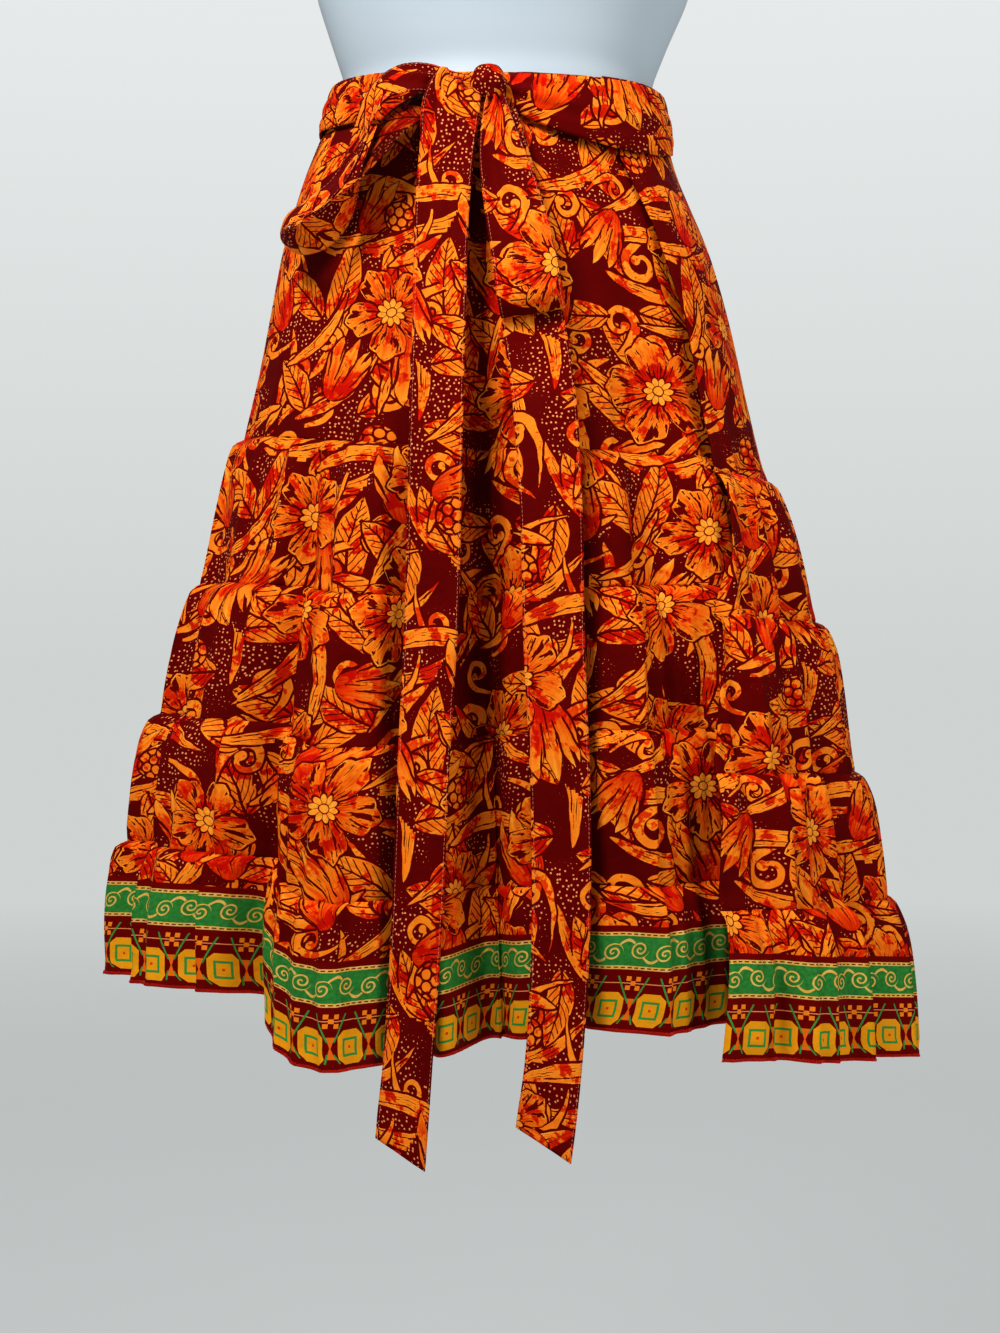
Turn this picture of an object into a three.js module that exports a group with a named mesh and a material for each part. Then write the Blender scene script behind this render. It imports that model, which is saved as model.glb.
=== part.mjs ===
// A five-tier wrap skirt tied with a bow, hanging on a limbless torso form with a hook.
// Millimetres, +Z up, the front of the skirt faces -Y. The origin is where the hook bears on its rail.

import * as THREE from 'three';

// Driving sizes
const waistZ = -470;            // height of the waist below the point that the hook hangs from
const clothWall = 1.6;          // wall of one layer of the gathered cloth
const bandWall = 2;             // doubled cloth of the waistband
const seamGap = 0.3;            // clearance between sewn pieces
const underlapEnd = 460;        // where the under layer of the wrap ends, degrees round from the front
const meshStep = 5;             // degrees between the columns of the cloth mesh
const edgeColumns = 6;          // columns that follow the slanting free edge of the flap
const edgeSettles = 60;         // degrees round at which those columns become upright
const flapStandOff = 9;         // how far the top layer of the wrap stands off the one under it
const bandStandOff = 3;         // the same at the waistband, where the wrap is pulled tight
const tightDownTo = 45;         // depth down to which the wrap is tight
const looseFrom = 190;          // depth from which it stands off fully
const flapComesDown = 50;       // degrees over which the flap comes down past the under layer's end
const foldsFullAt = 700;        // depth at which the folds are full
const hipCut = 228;             // depth below the waist where the torso form is cut off
const neckTop = 392;            // height of the neck of the form above the waist
const hookWire = 5;             // diameter of the hook's wire
const hookBend = 20;            // centre-line radius of the hook

// Oval of the skirt at each depth below the waist: half width, half depth, sideways shift
const ovals = [
  { down: 0, halfWidth: 114.5, halfDepth: 89, shift: -1 },
  { down: 30, halfWidth: 120, halfDepth: 95, shift: -4 },
  { down: 60, halfWidth: 130, halfDepth: 104, shift: -9 },
  { down: 120, halfWidth: 150, halfDepth: 119, shift: -7 },
  { down: 200, halfWidth: 167, halfDepth: 135, shift: -5 },
  { down: 280, halfWidth: 184, halfDepth: 150, shift: -4 },
  { down: 360, halfWidth: 208, halfDepth: 168, shift: -2 },
  { down: 480, halfWidth: 240, halfDepth: 190, shift: -4 },
  { down: 600, halfWidth: 267, halfDepth: 208, shift: -1 },
  { down: 720, halfWidth: 285, halfDepth: 218, shift: 3 },
];

// Depth of the waist, the band seam, the four tier seams and the hem, going round from the flap's edge
const levels = [
  { round: 30, waist: 11, band: 48, seam1: 287, seam2: 386, seam3: 490, seam4: 578, hem: 672 },
  { round: 60, waist: 9, band: 46, seam1: 289, seam2: 389, seam3: 494, seam4: 583, hem: 686 },
  { round: 90, waist: 8, band: 45, seam1: 287, seam2: 389, seam3: 497, seam4: 585, hem: 700 },
  { round: 125, waist: 4, band: 41, seam1: 285, seam2: 387, seam3: 493, seam4: 582, hem: 696 },
  { round: 180, waist: 0, band: 37, seam1: 276, seam2: 380, seam3: 480, seam4: 572, hem: 684 },
  { round: 235, waist: 0, band: 37, seam1: 267, seam2: 370, seam3: 465, seam4: 556, hem: 656 },
  { round: 270, waist: 0, band: 37, seam1: 259, seam2: 362, seam3: 454, seam4: 545, hem: 639 },
  { round: 300, waist: 3, band: 40, seam1: 261, seam2: 363, seam3: 455, seam4: 543, hem: 634 },
  { round: 318, waist: 6, band: 43, seam1: 267, seam2: 367, seam3: 458, seam4: 546, hem: 634 },
  { round: 331, waist: 9, band: 46, seam1: 271, seam2: 373, seam3: 475, seam4: 571, hem: 675 },
  { round: 344, waist: 11, band: 48, seam1: 274, seam2: 375, seam3: 472, seam4: 573, hem: 678 },
  { round: 356, waist: 12, band: 49, seam1: 275, seam2: 374, seam3: 468, seam4: 568, hem: 669 },
  { round: 376, waist: 12, band: 49, seam1: 276, seam2: 369, seam3: 463, seam4: 563, hem: 657 },
  { round: 395, waist: 11, band: 48, seam1: 277, seam2: 366, seam3: 462, seam4: 563, hem: 654 },
  { round: 460, waist: 8, band: 45, seam1: 279, seam2: 370, seam3: 468, seam4: 569, hem: 662 },
];

// Folds: degrees round at the waist and at the hem, half width in degrees, height of the ridge at the hem
// (below zero for a valley), and the depth where the fold starts
const folds = [
  { top: 2, hem: 4, half: 34, rise: -46, starts: 230 },
  { top: -3, hem: -3, half: 7, rise: -42, starts: 95 },
  { top: -13, hem: -14, half: 7, rise: -42, starts: 210 },
  { top: 11, hem: 13, half: 6, rise: -30, starts: 240 },
  { top: 22, hem: 23, half: 7, rise: 14, starts: 280 },
  { top: -26, hem: -27, half: 9, rise: 14, starts: 240 },
  { top: -41, hem: -40, half: 6, rise: -34, starts: 270 },
  { top: -57, hem: -56, half: 8, rise: 9, starts: 300 },
  { top: -71, hem: -69, half: 7, rise: -20, starts: 290 },
  { top: 48, hem: 46, half: 9, rise: 11, starts: 250 },
  { top: 66, hem: 64, half: 7, rise: -16, starts: 260 },
  { top: 80, hem: 79, half: 8, rise: 8, starts: 300 },
  { top: 101, hem: 102, half: 8, rise: -26, starts: 260 },
  { top: 115, hem: 116, half: 8, rise: 13, starts: 300 },
  { top: 131, hem: 132, half: 8, rise: -40, starts: 220 },
  { top: 146, hem: 148, half: 8, rise: 16, starts: 280 },
  { top: 163, hem: 163, half: 8, rise: -46, starts: 230 },
  { top: 177, hem: 179, half: 8, rise: 15, starts: 280 },
  { top: 194, hem: 194, half: 8, rise: -40, starts: 220 },
  { top: 209, hem: 209, half: 8, rise: 18, starts: 270 },
  { top: 226, hem: 225, half: 8, rise: -46, starts: 240 },
  { top: 242, hem: 241, half: 8, rise: 14, starts: 290 },
  { top: 255, hem: 256, half: 7, rise: -26, starts: 270 },
];
// The layer under the flap turns in behind the flap's free edge
const tuckUnderFlap = { centre: 394, half: 14, rise: -24, starts: 150, full: 350 };

// The free edge of the flap: degrees round at each depth
const freeEdge = [
  { down: 0, round: 37 },
  { down: 45, round: 40 },
  { down: 107, round: 46 },
  { down: 190, round: 50 },
  { down: 275, round: 50 },
  { down: 350, round: 44 },
  { down: 430, round: 38 },
  { down: 500, round: 34 },
  { down: 580, round: 31 },
  { down: 720, round: 28 },
];

// How far each tier puffs out just under the seam that it is gathered into
const tiers = [
  { name: 'tier_1', from: 'band', to: 'seam1', puff: 2, rows: 5 },
  { name: 'tier_2', from: 'seam1', to: 'seam2', puff: 7, rows: 3 },
  { name: 'tier_3', from: 'seam2', to: 'seam3', puff: 7, rows: 3 },
  { name: 'tier_4', from: 'seam3', to: 'seam4', puff: 7, rows: 3 },
  { name: 'tier_5', from: 'seam4', to: 'hem', puff: 8, rows: 3 },
];

// The torso form, from the hip cut up to the neck: height above the waist
const formSections = [
  { up: -hipCut, halfWidth: 153, halfDepth: 112, shift: -4 },
  { up: -170, halfWidth: 151, halfDepth: 112, shift: -5 },
  { up: -110, halfWidth: 138, halfDepth: 106, shift: -6 },
  { up: -50, halfWidth: 121, halfDepth: 95, shift: -6 },
  { up: -25, halfWidth: 114, halfDepth: 89, shift: -4 },
  { up: 0, halfWidth: 111, halfDepth: 85.5, shift: -1 },
  { up: 30, halfWidth: 122, halfDepth: 91, shift: 0 },
  { up: 61, halfWidth: 134, halfDepth: 98, shift: 2 },
  { up: 130, halfWidth: 149, halfDepth: 110, shift: 2 },
  { up: 210, halfWidth: 160, halfDepth: 117, shift: 1 },
  { up: 285, halfWidth: 168, halfDepth: 104, shift: 0 },
  { up: 325, halfWidth: 160, halfDepth: 86, shift: 0 },
  { up: 350, halfWidth: 130, halfDepth: 70, shift: 0 },
  { up: 366, halfWidth: 85, halfDepth: 56, shift: 0 },
  { up: neckTop, halfWidth: 52, halfDepth: 48, shift: 0 },
];

// Ribbons of the bow: sideways, forward and down from the middle of the waist, width, and how far the
// width is turned away from the front, in degrees
const tailLeft = [
  { side: -31, out: 109, down: 44, width: 30, roll: 0 },
  { side: -38, out: 124, down: 70, width: 35, roll: 0 },
  { side: -40, out: 138, down: 110, width: 36, roll: 0 },
  { side: -40, out: 154, down: 190, width: 35, roll: 4 },
  { side: -42, out: 170, down: 280, width: 35, roll: 6 },
  { side: -44, out: 176, down: 380, width: 35, roll: 8 },
  { side: -49, out: 180, down: 480, width: 34, roll: 10 },
  { side: -53, out: 183, down: 580, width: 33, roll: 10 },
  { side: -58, out: 185, down: 660, width: 32, roll: 8 },
  { side: -64, out: 187, down: 733, width: 32, roll: 6 },
];
const tailRight = [
  { side: -3, out: 107, down: 46, width: 30, roll: 0 },
  { side: 4, out: 121, down: 80, width: 34, roll: 0 },
  { side: 13, out: 130, down: 130, width: 38, roll: 0 },
  { side: 21, out: 143, down: 185, width: 41, roll: 0 },
  { side: 29, out: 161, down: 245, width: 42, roll: 2 },
  { side: 33, out: 173, down: 310, width: 41, roll: 4 },
  { side: 35, out: 178, down: 400, width: 40, roll: 4 },
  { side: 39, out: 181, down: 500, width: 39, roll: 6 },
  { side: 39, out: 184, down: 600, width: 38, roll: 6 },
  { side: 34, out: 186, down: 680, width: 37, roll: 8 },
  { side: 28, out: 187, down: 728, width: 36, roll: 8 },
];
const tailSlant = 20;           // how far one corner of each tail hangs below the other
const loopLeft = [
  { side: -33, out: 117, down: 30, width: 24, roll: 8 },
  { side: -54, out: 122, down: 30, width: 28, roll: 40 },
  { side: -74, out: 122, down: 34, width: 32, roll: 46 },
  { side: -89, out: 118, down: 54, width: 33, roll: 40 },
  { side: -104, out: 114, down: 77, width: 33, roll: 38 },
  { side: -122, out: 110, down: 97, width: 33, roll: 46 },
  { side: -137, out: 102, down: 112, width: 31, roll: 40 },
  { side: -144, out: 92, down: 123, width: 29, roll: 20 },
];
const loopRight = [
  { side: -8, out: 119, down: 46, width: 20, roll: 0 },
  { side: 0, out: 134, down: 76, width: 30, roll: 0 },
  { side: 8, out: 143, down: 110, width: 38, roll: 0 },
  { side: 15, out: 152, down: 145, width: 42, roll: 0 },
  { side: 19, out: 158, down: 172, width: 43, roll: 0 },
];
const loopFullness = 9;         // gap between the two limbs of a flattened loop at its far end
const knotPlace = { side: -15, out: 107, down: 26, width: 27, height: 30, deep: 18 };

// The tie where it goes round over the waistband: it leaves the knot to the right and comes back from the
// left, in degrees round, and stands off from the band's outer face
const tie = { from: 362, to: 697, columns: 60, rows: 2, topEdge: 2, height: 33, standOff: 0.6, crown: 1 };

const cloth = new THREE.MeshStandardMaterial({ color: 0xd4600f, roughness: 0.62, metalness: 0 });
const border = new THREE.MeshStandardMaterial({ color: 0xb0701a, roughness: 0.62, metalness: 0 });
const plastic = new THREE.MeshStandardMaterial({ color: 0xc3ced8, roughness: 0.38, metalness: 0 });
const steel = new THREE.MeshStandardMaterial({ color: 0xbfc1c4, roughness: 0.28, metalness: 1 });

const radians = THREE.MathUtils.degToRad;

// A value of a table's column between two rows
function lookUp(table, key, column, at) {
  const last = table.length - 1;
  if (at <= table[0][key]) return table[0][column];
  if (at >= table[last][key]) return table[last][column];
  const i = table.findIndex((row) => row[key] > at);
  const share = (at - table[i - 1][key]) / (table[i][key] - table[i - 1][key]);
  return THREE.MathUtils.lerp(table[i - 1][column], table[i][column], share);
}

function levelAt(line, round) {
  return lookUp(levels, 'round', line, round);
}

// A rounded bump, 1 at its middle and 0 at its ends
function bump(x) {
  return Math.abs(x) >= 1 ? 0 : Math.cos(x * Math.PI / 2) ** 2;
}

// How far the folds move the cloth out at one place
function foldRise(round, down) {
  let rise = 0;
  for (const fold of folds) {
    const grown = THREE.MathUtils.clamp((down - fold.starts) / (foldsFullAt - fold.starts), 0, 1);
    const centre = THREE.MathUtils.lerp(fold.top, fold.hem, down / foldsFullAt);
    const away = THREE.MathUtils.euclideanModulo(round - centre + 180, 360) - 180;
    rise += fold.rise * Math.sqrt(grown) * bump(away / fold.half);
  }
  if (round > 360) {
    const tucked = THREE.MathUtils.smoothstep(down, tuckUnderFlap.starts, tuckUnderFlap.full);
    rise += tuckUnderFlap.rise * tucked * bump((round - tuckUnderFlap.centre) / tuckUnderFlap.half);
  }
  return rise;
}

// A place round the oval of one depth, moved out from it
function ovalPoint(round, down, out) {
  const angle = radians(round);
  const halfWidth = lookUp(ovals, 'down', 'halfWidth', down) + out;
  const halfDepth = lookUp(ovals, 'down', 'halfDepth', down) + out;
  const shift = lookUp(ovals, 'down', 'shift', down);
  return new THREE.Vector3(shift + halfWidth * Math.sin(angle), -halfDepth * Math.cos(angle), waistZ - down);
}

// The outside of the skirt: the flap lies over the under layer, and comes down to it past that layer's end
function clothPoint(round, down, extra) {
  const loosened = THREE.MathUtils.smoothstep(down, tightDownTo, looseFrom);
  const standOff = THREE.MathUtils.lerp(bandStandOff, flapStandOff, loosened);
  const past = round - (underlapEnd - 360);
  const lifted = 1 - THREE.MathUtils.smoothstep(past, 0, flapComesDown);
  return ovalPoint(round, down, foldRise(round, down) + standOff * lifted + extra);
}

// Columns of one strip of the wrap: the first ones fan out from the slanting free edge
function columnRound(j, down) {
  if (j >= edgeColumns) return edgeSettles + (j - edgeColumns) * meshStep;
  return THREE.MathUtils.lerp(lookUp(freeEdge, 'down', 'round', down), edgeSettles, j / edgeColumns);
}

// A wall of even thickness under a grid of outside points. A level wall keeps each row at one height,
// so that pieces sewn edge to edge stay clear of each other
function wallGeometry(rows, columns, pointAt, thickness, level = false) {
  const outside = [];
  for (let i = 0; i <= rows; i++) {
    outside.push([]);
    for (let j = 0; j <= columns; j++) outside[i].push(pointAt(i, j));
  }
  const normalAt = (i, j) => {
    const along = outside[i][Math.min(j + 1, columns)].clone().sub(outside[i][Math.max(j - 1, 0)]);
    const down = outside[Math.min(i + 1, rows)][j].clone().sub(outside[Math.max(i - 1, 0)][j]);
    const normal = down.cross(along);
    if (level) normal.z = 0;
    return normal.normalize();
  };
  const positions = [];
  const index = [];
  const place = (layer, i, j) => (layer * (rows + 1) + i) * (columns + 1) + j;
  for (const layer of [0, 1]) {
    for (let i = 0; i <= rows; i++) {
      for (let j = 0; j <= columns; j++) {
        const p = outside[i][j].clone().addScaledVector(normalAt(i, j), -layer * thickness);
        positions.push(p.x, p.y, p.z);
      }
    }
  }
  const quad = (a, b, c, d) => index.push(a, b, c, a, c, d);
  for (let i = 0; i < rows; i++) {
    for (let j = 0; j < columns; j++) {
      quad(place(0, i, j), place(0, i + 1, j), place(0, i + 1, j + 1), place(0, i, j + 1));
      quad(place(1, i, j), place(1, i, j + 1), place(1, i + 1, j + 1), place(1, i + 1, j));
    }
    quad(place(0, i, 0), place(1, i, 0), place(1, i + 1, 0), place(0, i + 1, 0));
    quad(place(0, i, columns), place(0, i + 1, columns), place(1, i + 1, columns), place(1, i, columns));
  }
  for (let j = 0; j < columns; j++) {
    quad(place(0, 0, j), place(0, 0, j + 1), place(1, 0, j + 1), place(1, 0, j));
    quad(place(0, rows, j), place(1, rows, j), place(1, rows, j + 1), place(0, rows, j + 1));
  }
  const geometry = new THREE.BufferGeometry();
  geometry.setAttribute('position', new THREE.Float32BufferAttribute(positions, 3));
  geometry.setIndex(index);
  return geometry;
}

// A smooth solid through oval sections, closed flat at both ends
function ovalLoft(sections, sides) {
  const positions = [];
  const index = [];
  for (const section of sections) {
    for (let k = 0; k < sides; k++) {
      const angle = 2 * Math.PI * k / sides;
      positions.push(
        section.shift + section.halfWidth * Math.sin(angle),
        -section.halfDepth * Math.cos(angle),
        waistZ + section.up,
      );
    }
  }
  const last = sections.length - 1;
  for (let i = 0; i < last; i++) {
    for (let k = 0; k < sides; k++) {
      const a = i * sides + k;
      const b = i * sides + (k + 1) % sides;
      index.push(a, b, b + sides, a, b + sides, a + sides);
    }
  }
  positions.push(sections[0].shift, 0, waistZ + sections[0].up);
  positions.push(sections[last].shift, 0, waistZ + sections[last].up);
  const under = sections.length * sides;
  for (let k = 0; k < sides; k++) {
    const next = (k + 1) % sides;
    index.push(under, next, k);
    index.push(under + 1, last * sides + k, last * sides + next);
  }
  const geometry = new THREE.BufferGeometry();
  geometry.setAttribute('position', new THREE.Float32BufferAttribute(positions, 3));
  geometry.setIndex(index);
  return geometry;
}

// The two edges of a ribbon at one row of its table
function ribbonEdges(table, i, standBack) {
  const at = (row) => new THREE.Vector3(row.side, -row.out, waistZ - row.down);
  const ahead = at(table[Math.min(i + 1, table.length - 1)]).sub(at(table[Math.max(i - 1, 0)])).normalize();
  const front = new THREE.Vector3(0, -1, 0);
  const across = ahead.clone().cross(front).normalize();
  const roll = radians(table[i].roll);
  const wide = across.multiplyScalar(Math.cos(roll)).addScaledVector(front, Math.sin(roll)).normalize();
  const middle = at(table[i]).addScaledVector(front, -standBack);
  const half = table[i].width / 2;
  return [middle.clone().addScaledVector(wide, -half), middle.clone().addScaledVector(wide, half)];
}

function ribbonGeometry(table, slant) {
  const last = table.length - 1;
  const pointAt = (i, j) => {
    const point = ribbonEdges(table, i, 0)[1 - j];
    if (i === last) point.z += j === 0 ? slant / 2 : -slant / 2;
    return point;
  };
  return wallGeometry(last, 1, pointAt, clothWall);
}

// A loop flattened on itself: its front limb goes out along the table and its back limb comes home
function loopGeometry(table) {
  const last = table.length - 1;
  const pointAt = (i, j) => {
    const home = i > last;
    const row = home ? 2 * last + 1 - i : i;
    const opened = loopFullness * (0.35 + 0.65 * row / last);
    return ribbonEdges(table, row, home ? opened : 0)[1 - j];
  };
  return wallGeometry(2 * last + 1, 1, pointAt, clothWall);
}

// One strip of the wrap between two of the level lines
function stripGeometry(from, to, rows, puff, thickness) {
  const columns = edgeColumns + (underlapEnd - edgeSettles) / meshStep;
  const pointAt = (i, j) => {
    const share = i / rows;
    const guess = columnRound(j, 0);
    const topGap = from === 'waist' ? 0 : seamGap;
    const down = (round) => THREE.MathUtils.lerp(levelAt(from, round) + topGap, levelAt(to, round), share);
    const round = columnRound(j, down(guess));
    return clothPoint(round, down(round), puff * Math.sin(Math.PI * share ** 0.5));
  };
  return wallGeometry(rows, columns, pointAt, thickness, true);
}

const skirt = new THREE.Group();

function addPiece(name, geometry, material) {
  const piece = new THREE.Mesh(geometry, material);
  piece.name = name;
  skirt.add(piece);
}

addPiece('waistband', stripGeometry('waist', 'band', 1, 0, bandWall), cloth);
for (const tier of tiers) {
  const geometry = stripGeometry(tier.from, tier.to, tier.rows, tier.puff, clothWall);
  addPiece(tier.name, geometry, tier.name === 'tier_5' ? border : cloth);
}

// The tie lies on the waistband all the way round, from the knot back to the knot
function tiePoint(i, j) {
  const round = THREE.MathUtils.lerp(tie.from, tie.to, j / tie.columns);
  const first = levels[0].round;
  const fromFlap = THREE.MathUtils.euclideanModulo(round - first, 360) + first;
  const down = levelAt('waist', fromFlap) + tie.topEdge + tie.height * i / tie.rows;
  const crowned = tie.crown * Math.sin(Math.PI * i / tie.rows);
  return ovalPoint(round, down, bandStandOff + tie.standOff + clothWall + crowned);
}
addPiece('tie_round', wallGeometry(tie.rows, tie.columns, tiePoint, clothWall), cloth);

const knotShape = new THREE.SphereGeometry(1, 12, 8);
knotShape.scale(knotPlace.width / 2, knotPlace.deep / 2, knotPlace.height / 2);
addPiece('knot', knotShape, cloth);
skirt.children.at(-1).position.set(knotPlace.side, -knotPlace.out, waistZ - knotPlace.down);
addPiece('loop_left', loopGeometry(loopLeft), cloth);
addPiece('loop_right', loopGeometry(loopRight), cloth);
addPiece('tail_left', ribbonGeometry(tailLeft, tailSlant), cloth);
addPiece('tail_right', ribbonGeometry(tailRight, tailSlant), cloth);

addPiece('torso_form', ovalLoft(formSections, 32), plastic);
const capBase = waistZ + neckTop + seamGap;
const capHeight = 9;
const capProfile = [[0, 0], [44, 0], [44, 5], [38, capHeight], [0, capHeight]]
  .map(([r, z]) => new THREE.Vector2(r, z));
const cap = new THREE.LatheGeometry(capProfile, 32);
cap.rotateX(Math.PI / 2);
addPiece('neck_cap', cap, plastic);
skirt.children.at(-1).position.z = capBase;

// The hook: a stem from the cap that bends over the rail, its underside at the origin
const hookTop = hookWire / 2;
const hookPath = new THREE.CatmullRomCurve3([
  new THREE.Vector3(0, 0, capBase + capHeight + seamGap),
  new THREE.Vector3(0, 0, -52),
  new THREE.Vector3(-9, 0, -38),
  new THREE.Vector3(-hookBend, 0, hookTop - hookBend),
  new THREE.Vector3(-hookBend * Math.SQRT1_2, 0, hookTop - hookBend * (1 - Math.SQRT1_2)),
  new THREE.Vector3(0, 0, hookTop),
  new THREE.Vector3(hookBend * Math.SQRT1_2, 0, hookTop - hookBend * (1 - Math.SQRT1_2)),
  new THREE.Vector3(hookBend, 0, hookTop - hookBend),
  new THREE.Vector3(hookBend - 3, 0, hookTop - hookBend - 10),
]);
const wireSection = new THREE.Shape();
wireSection.absarc(0, 0, hookWire / 2, 0, 2 * Math.PI);
const hook = new THREE.ExtrudeGeometry(wireSection, { steps: 36, extrudePath: hookPath, curveSegments: 5 });
addPiece('form_hook', hook, steel);

export default skirt;
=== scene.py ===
import math
from functools import partial

import bpy
import numpy as np
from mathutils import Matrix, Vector


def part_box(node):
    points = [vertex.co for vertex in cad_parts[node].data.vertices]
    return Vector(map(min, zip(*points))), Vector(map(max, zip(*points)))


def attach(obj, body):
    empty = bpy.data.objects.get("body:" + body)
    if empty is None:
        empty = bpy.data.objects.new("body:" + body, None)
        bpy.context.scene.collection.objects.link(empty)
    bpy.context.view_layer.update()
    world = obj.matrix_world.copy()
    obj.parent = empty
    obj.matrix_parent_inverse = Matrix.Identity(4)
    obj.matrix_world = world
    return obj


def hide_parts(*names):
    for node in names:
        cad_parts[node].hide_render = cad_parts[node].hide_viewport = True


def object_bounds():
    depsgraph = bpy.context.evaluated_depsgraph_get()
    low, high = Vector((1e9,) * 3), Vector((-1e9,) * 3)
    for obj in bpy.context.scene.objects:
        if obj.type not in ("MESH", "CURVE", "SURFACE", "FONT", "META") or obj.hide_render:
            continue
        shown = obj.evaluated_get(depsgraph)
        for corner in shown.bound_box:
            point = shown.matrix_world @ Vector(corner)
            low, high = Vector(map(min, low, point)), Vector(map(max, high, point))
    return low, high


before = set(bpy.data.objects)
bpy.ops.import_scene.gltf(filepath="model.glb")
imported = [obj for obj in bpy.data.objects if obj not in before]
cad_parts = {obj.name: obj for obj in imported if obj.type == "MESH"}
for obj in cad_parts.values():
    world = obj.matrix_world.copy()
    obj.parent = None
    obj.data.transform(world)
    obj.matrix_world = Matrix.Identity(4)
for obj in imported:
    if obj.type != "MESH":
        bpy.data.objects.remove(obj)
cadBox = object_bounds()
mm = 0.001
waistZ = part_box("waistband")[1][2] / mm  # the top of the waistband, from which all is measured down
print("frame loaded, waist at", round(waistZ), "mm")


def linear(code):
    # an sRGB hex colour as linear RGBA
    parts = [int(code[i:i + 2], 16) / 255 for i in (0, 2, 4)]
    return (*[c / 12.92 if c <= 0.04045 else ((c + 0.055) / 1.055) ** 2.4 for c in parts], 1.0)


def put(tree, kind, *inputs, **settings):
    # adds one node, and an operation's name in capitals stands for the arithmetic node that does it
    # an input is a socket to link, a value to set, or None to leave as it is
    if kind.isupper():
        settings["operation"] = kind
        kind = "ShaderNodeMath"
    node = tree.nodes.new(kind)
    for key, value in settings.items():
        setattr(node, key, value)
    for socket, value in zip([s for s in node.inputs if s.enabled], inputs):
        if isinstance(value, bpy.types.NodeSocket):
            tree.links.new(value, socket)
        elif value is not None:
            socket.default_value = value
    outs = [s for s in node.outputs if s.enabled]
    return outs[0] if len(outs) == 1 else outs


def smoothRows(rows, key, column, window):
    # a table's column at every millimetre or degree, rounded off over a window
    low, high = rows[0][key], rows[-1][key]
    at = np.arange(low - window, high + window + 1, 1.0)
    raw = np.interp(at, [r[key] for r in rows], [r[column] for r in rows])
    kernel = np.hanning(window + 2)[1:-1]
    kernel /= kernel.sum()
    pad = len(kernel) // 2
    eased = np.convolve(np.pad(raw, pad, "edge"), kernel, "same")[pad:-pad or None]
    return at, eased


def bump(x):
    # a round hump over -1 to 1
    return np.where(np.abs(x) >= 1, 0.0, np.cos(np.clip(x, -1, 1) * math.pi / 2) ** 2)


def smoothStep(x, low, high):
    # 0 below low, 1 above high, and an easy slope between
    t = np.clip((x - low) / (high - low), 0, 1)
    return t * t * (3 - 2 * t)


def ripple(along, spacing, seed):
    # smooth uneven waves between -1 and 1, with about one turning point for each spacing
    count = 4096
    knots = np.random.RandomState(seed).uniform(-1, 1, count)
    place = along / spacing
    i = np.floor(place).astype(int)
    t = smoothStep(place - i, 0, 1)
    return knots[i % count] * (1 - t) + knots[(i + 1) % count] * t


# the shape of the skirt, as in the CAD part: mm down from the waist, and degrees round from the front
skirtSizes = {
    "clothWall": 0.8, "bandWall": 1.3, "seamLap": 2.0, "lapBehind": 1.4,
    "underlapEnd": 460.0, "edgeSettles": 60.0, "flapComesDown": 50.0,
    "flapStandOff": 9.0, "bandStandOff": 3.0, "tightDownTo": 45.0, "looseFrom": 190.0,
    "foldsFullAt": 700.0, "spacing": 2.9,
}
rounding = {"oval": 60, "level": 16, "edge": 80}  # the windows that the tables' corners are eased over

ovals = [
    dict(down=0, halfWidth=114.5, halfDepth=89, shift=-1),
    dict(down=30, halfWidth=120, halfDepth=95, shift=-4),
    dict(down=60, halfWidth=130, halfDepth=104, shift=-9),
    dict(down=120, halfWidth=150, halfDepth=119, shift=-7),
    dict(down=200, halfWidth=167, halfDepth=135, shift=-5),
    dict(down=280, halfWidth=184, halfDepth=150, shift=-4),
    dict(down=360, halfWidth=208, halfDepth=168, shift=-2),
    dict(down=480, halfWidth=240, halfDepth=190, shift=-4),
    dict(down=600, halfWidth=267, halfDepth=208, shift=-1),
    dict(down=720, halfWidth=285, halfDepth=218, shift=3),
]

levelNames = ("round", "waist", "band", "seam1", "seam2", "seam3", "seam4", "hem")
levels = [dict(zip(levelNames, row)) for row in (
    (30, 11, 48, 287, 386, 490, 578, 672),
    (60, 9, 46, 289, 389, 494, 583, 686),
    (90, 8, 45, 287, 389, 497, 585, 700),
    (125, 4, 41, 285, 387, 493, 582, 696),
    (180, 0, 37, 276, 380, 480, 572, 684),
    (235, 0, 37, 267, 370, 465, 556, 656),
    (270, 0, 37, 259, 362, 454, 545, 639),
    (300, 3, 40, 261, 363, 455, 543, 634),
    (318, 6, 43, 267, 367, 458, 546, 634),
    (331, 9, 46, 271, 373, 475, 571, 675),
    (344, 11, 48, 274, 375, 472, 573, 678),
    (356, 12, 49, 275, 374, 468, 568, 669),
    (376, 12, 49, 276, 369, 463, 563, 657),
    (395, 11, 48, 277, 366, 462, 563, 654),
    (460, 8, 45, 279, 370, 468, 569, 662),
)]

foldNames = ("top", "hem", "half", "rise", "starts")
folds = [dict(zip(foldNames, row)) for row in (
    (2, 4, 30, -56, 245), (-3, -3, 7, -42, 95), (-13, -14, 7, -42, 210), (11, 13, 6, -30, 240),
    (22, 23, 7, 14, 280), (-26, -27, 9, 14, 240), (-41, -40, 6, -34, 270), (-57, -56, 8, 9, 300),
    (-71, -69, 7, -20, 290), (48, 46, 9, 11, 250), (66, 64, 7, -16, 260), (80, 79, 8, 8, 300),
    (101, 102, 8, -26, 260), (115, 116, 8, 13, 300), (131, 132, 8, -40, 220), (146, 148, 8, 16, 280),
    (163, 163, 8, -46, 230), (177, 179, 8, 15, 280), (194, 194, 8, -40, 220), (209, 209, 8, 18, 270),
    (226, 225, 8, -46, 240), (242, 241, 8, 14, 290), (255, 256, 7, -26, 270),
)]
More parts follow.
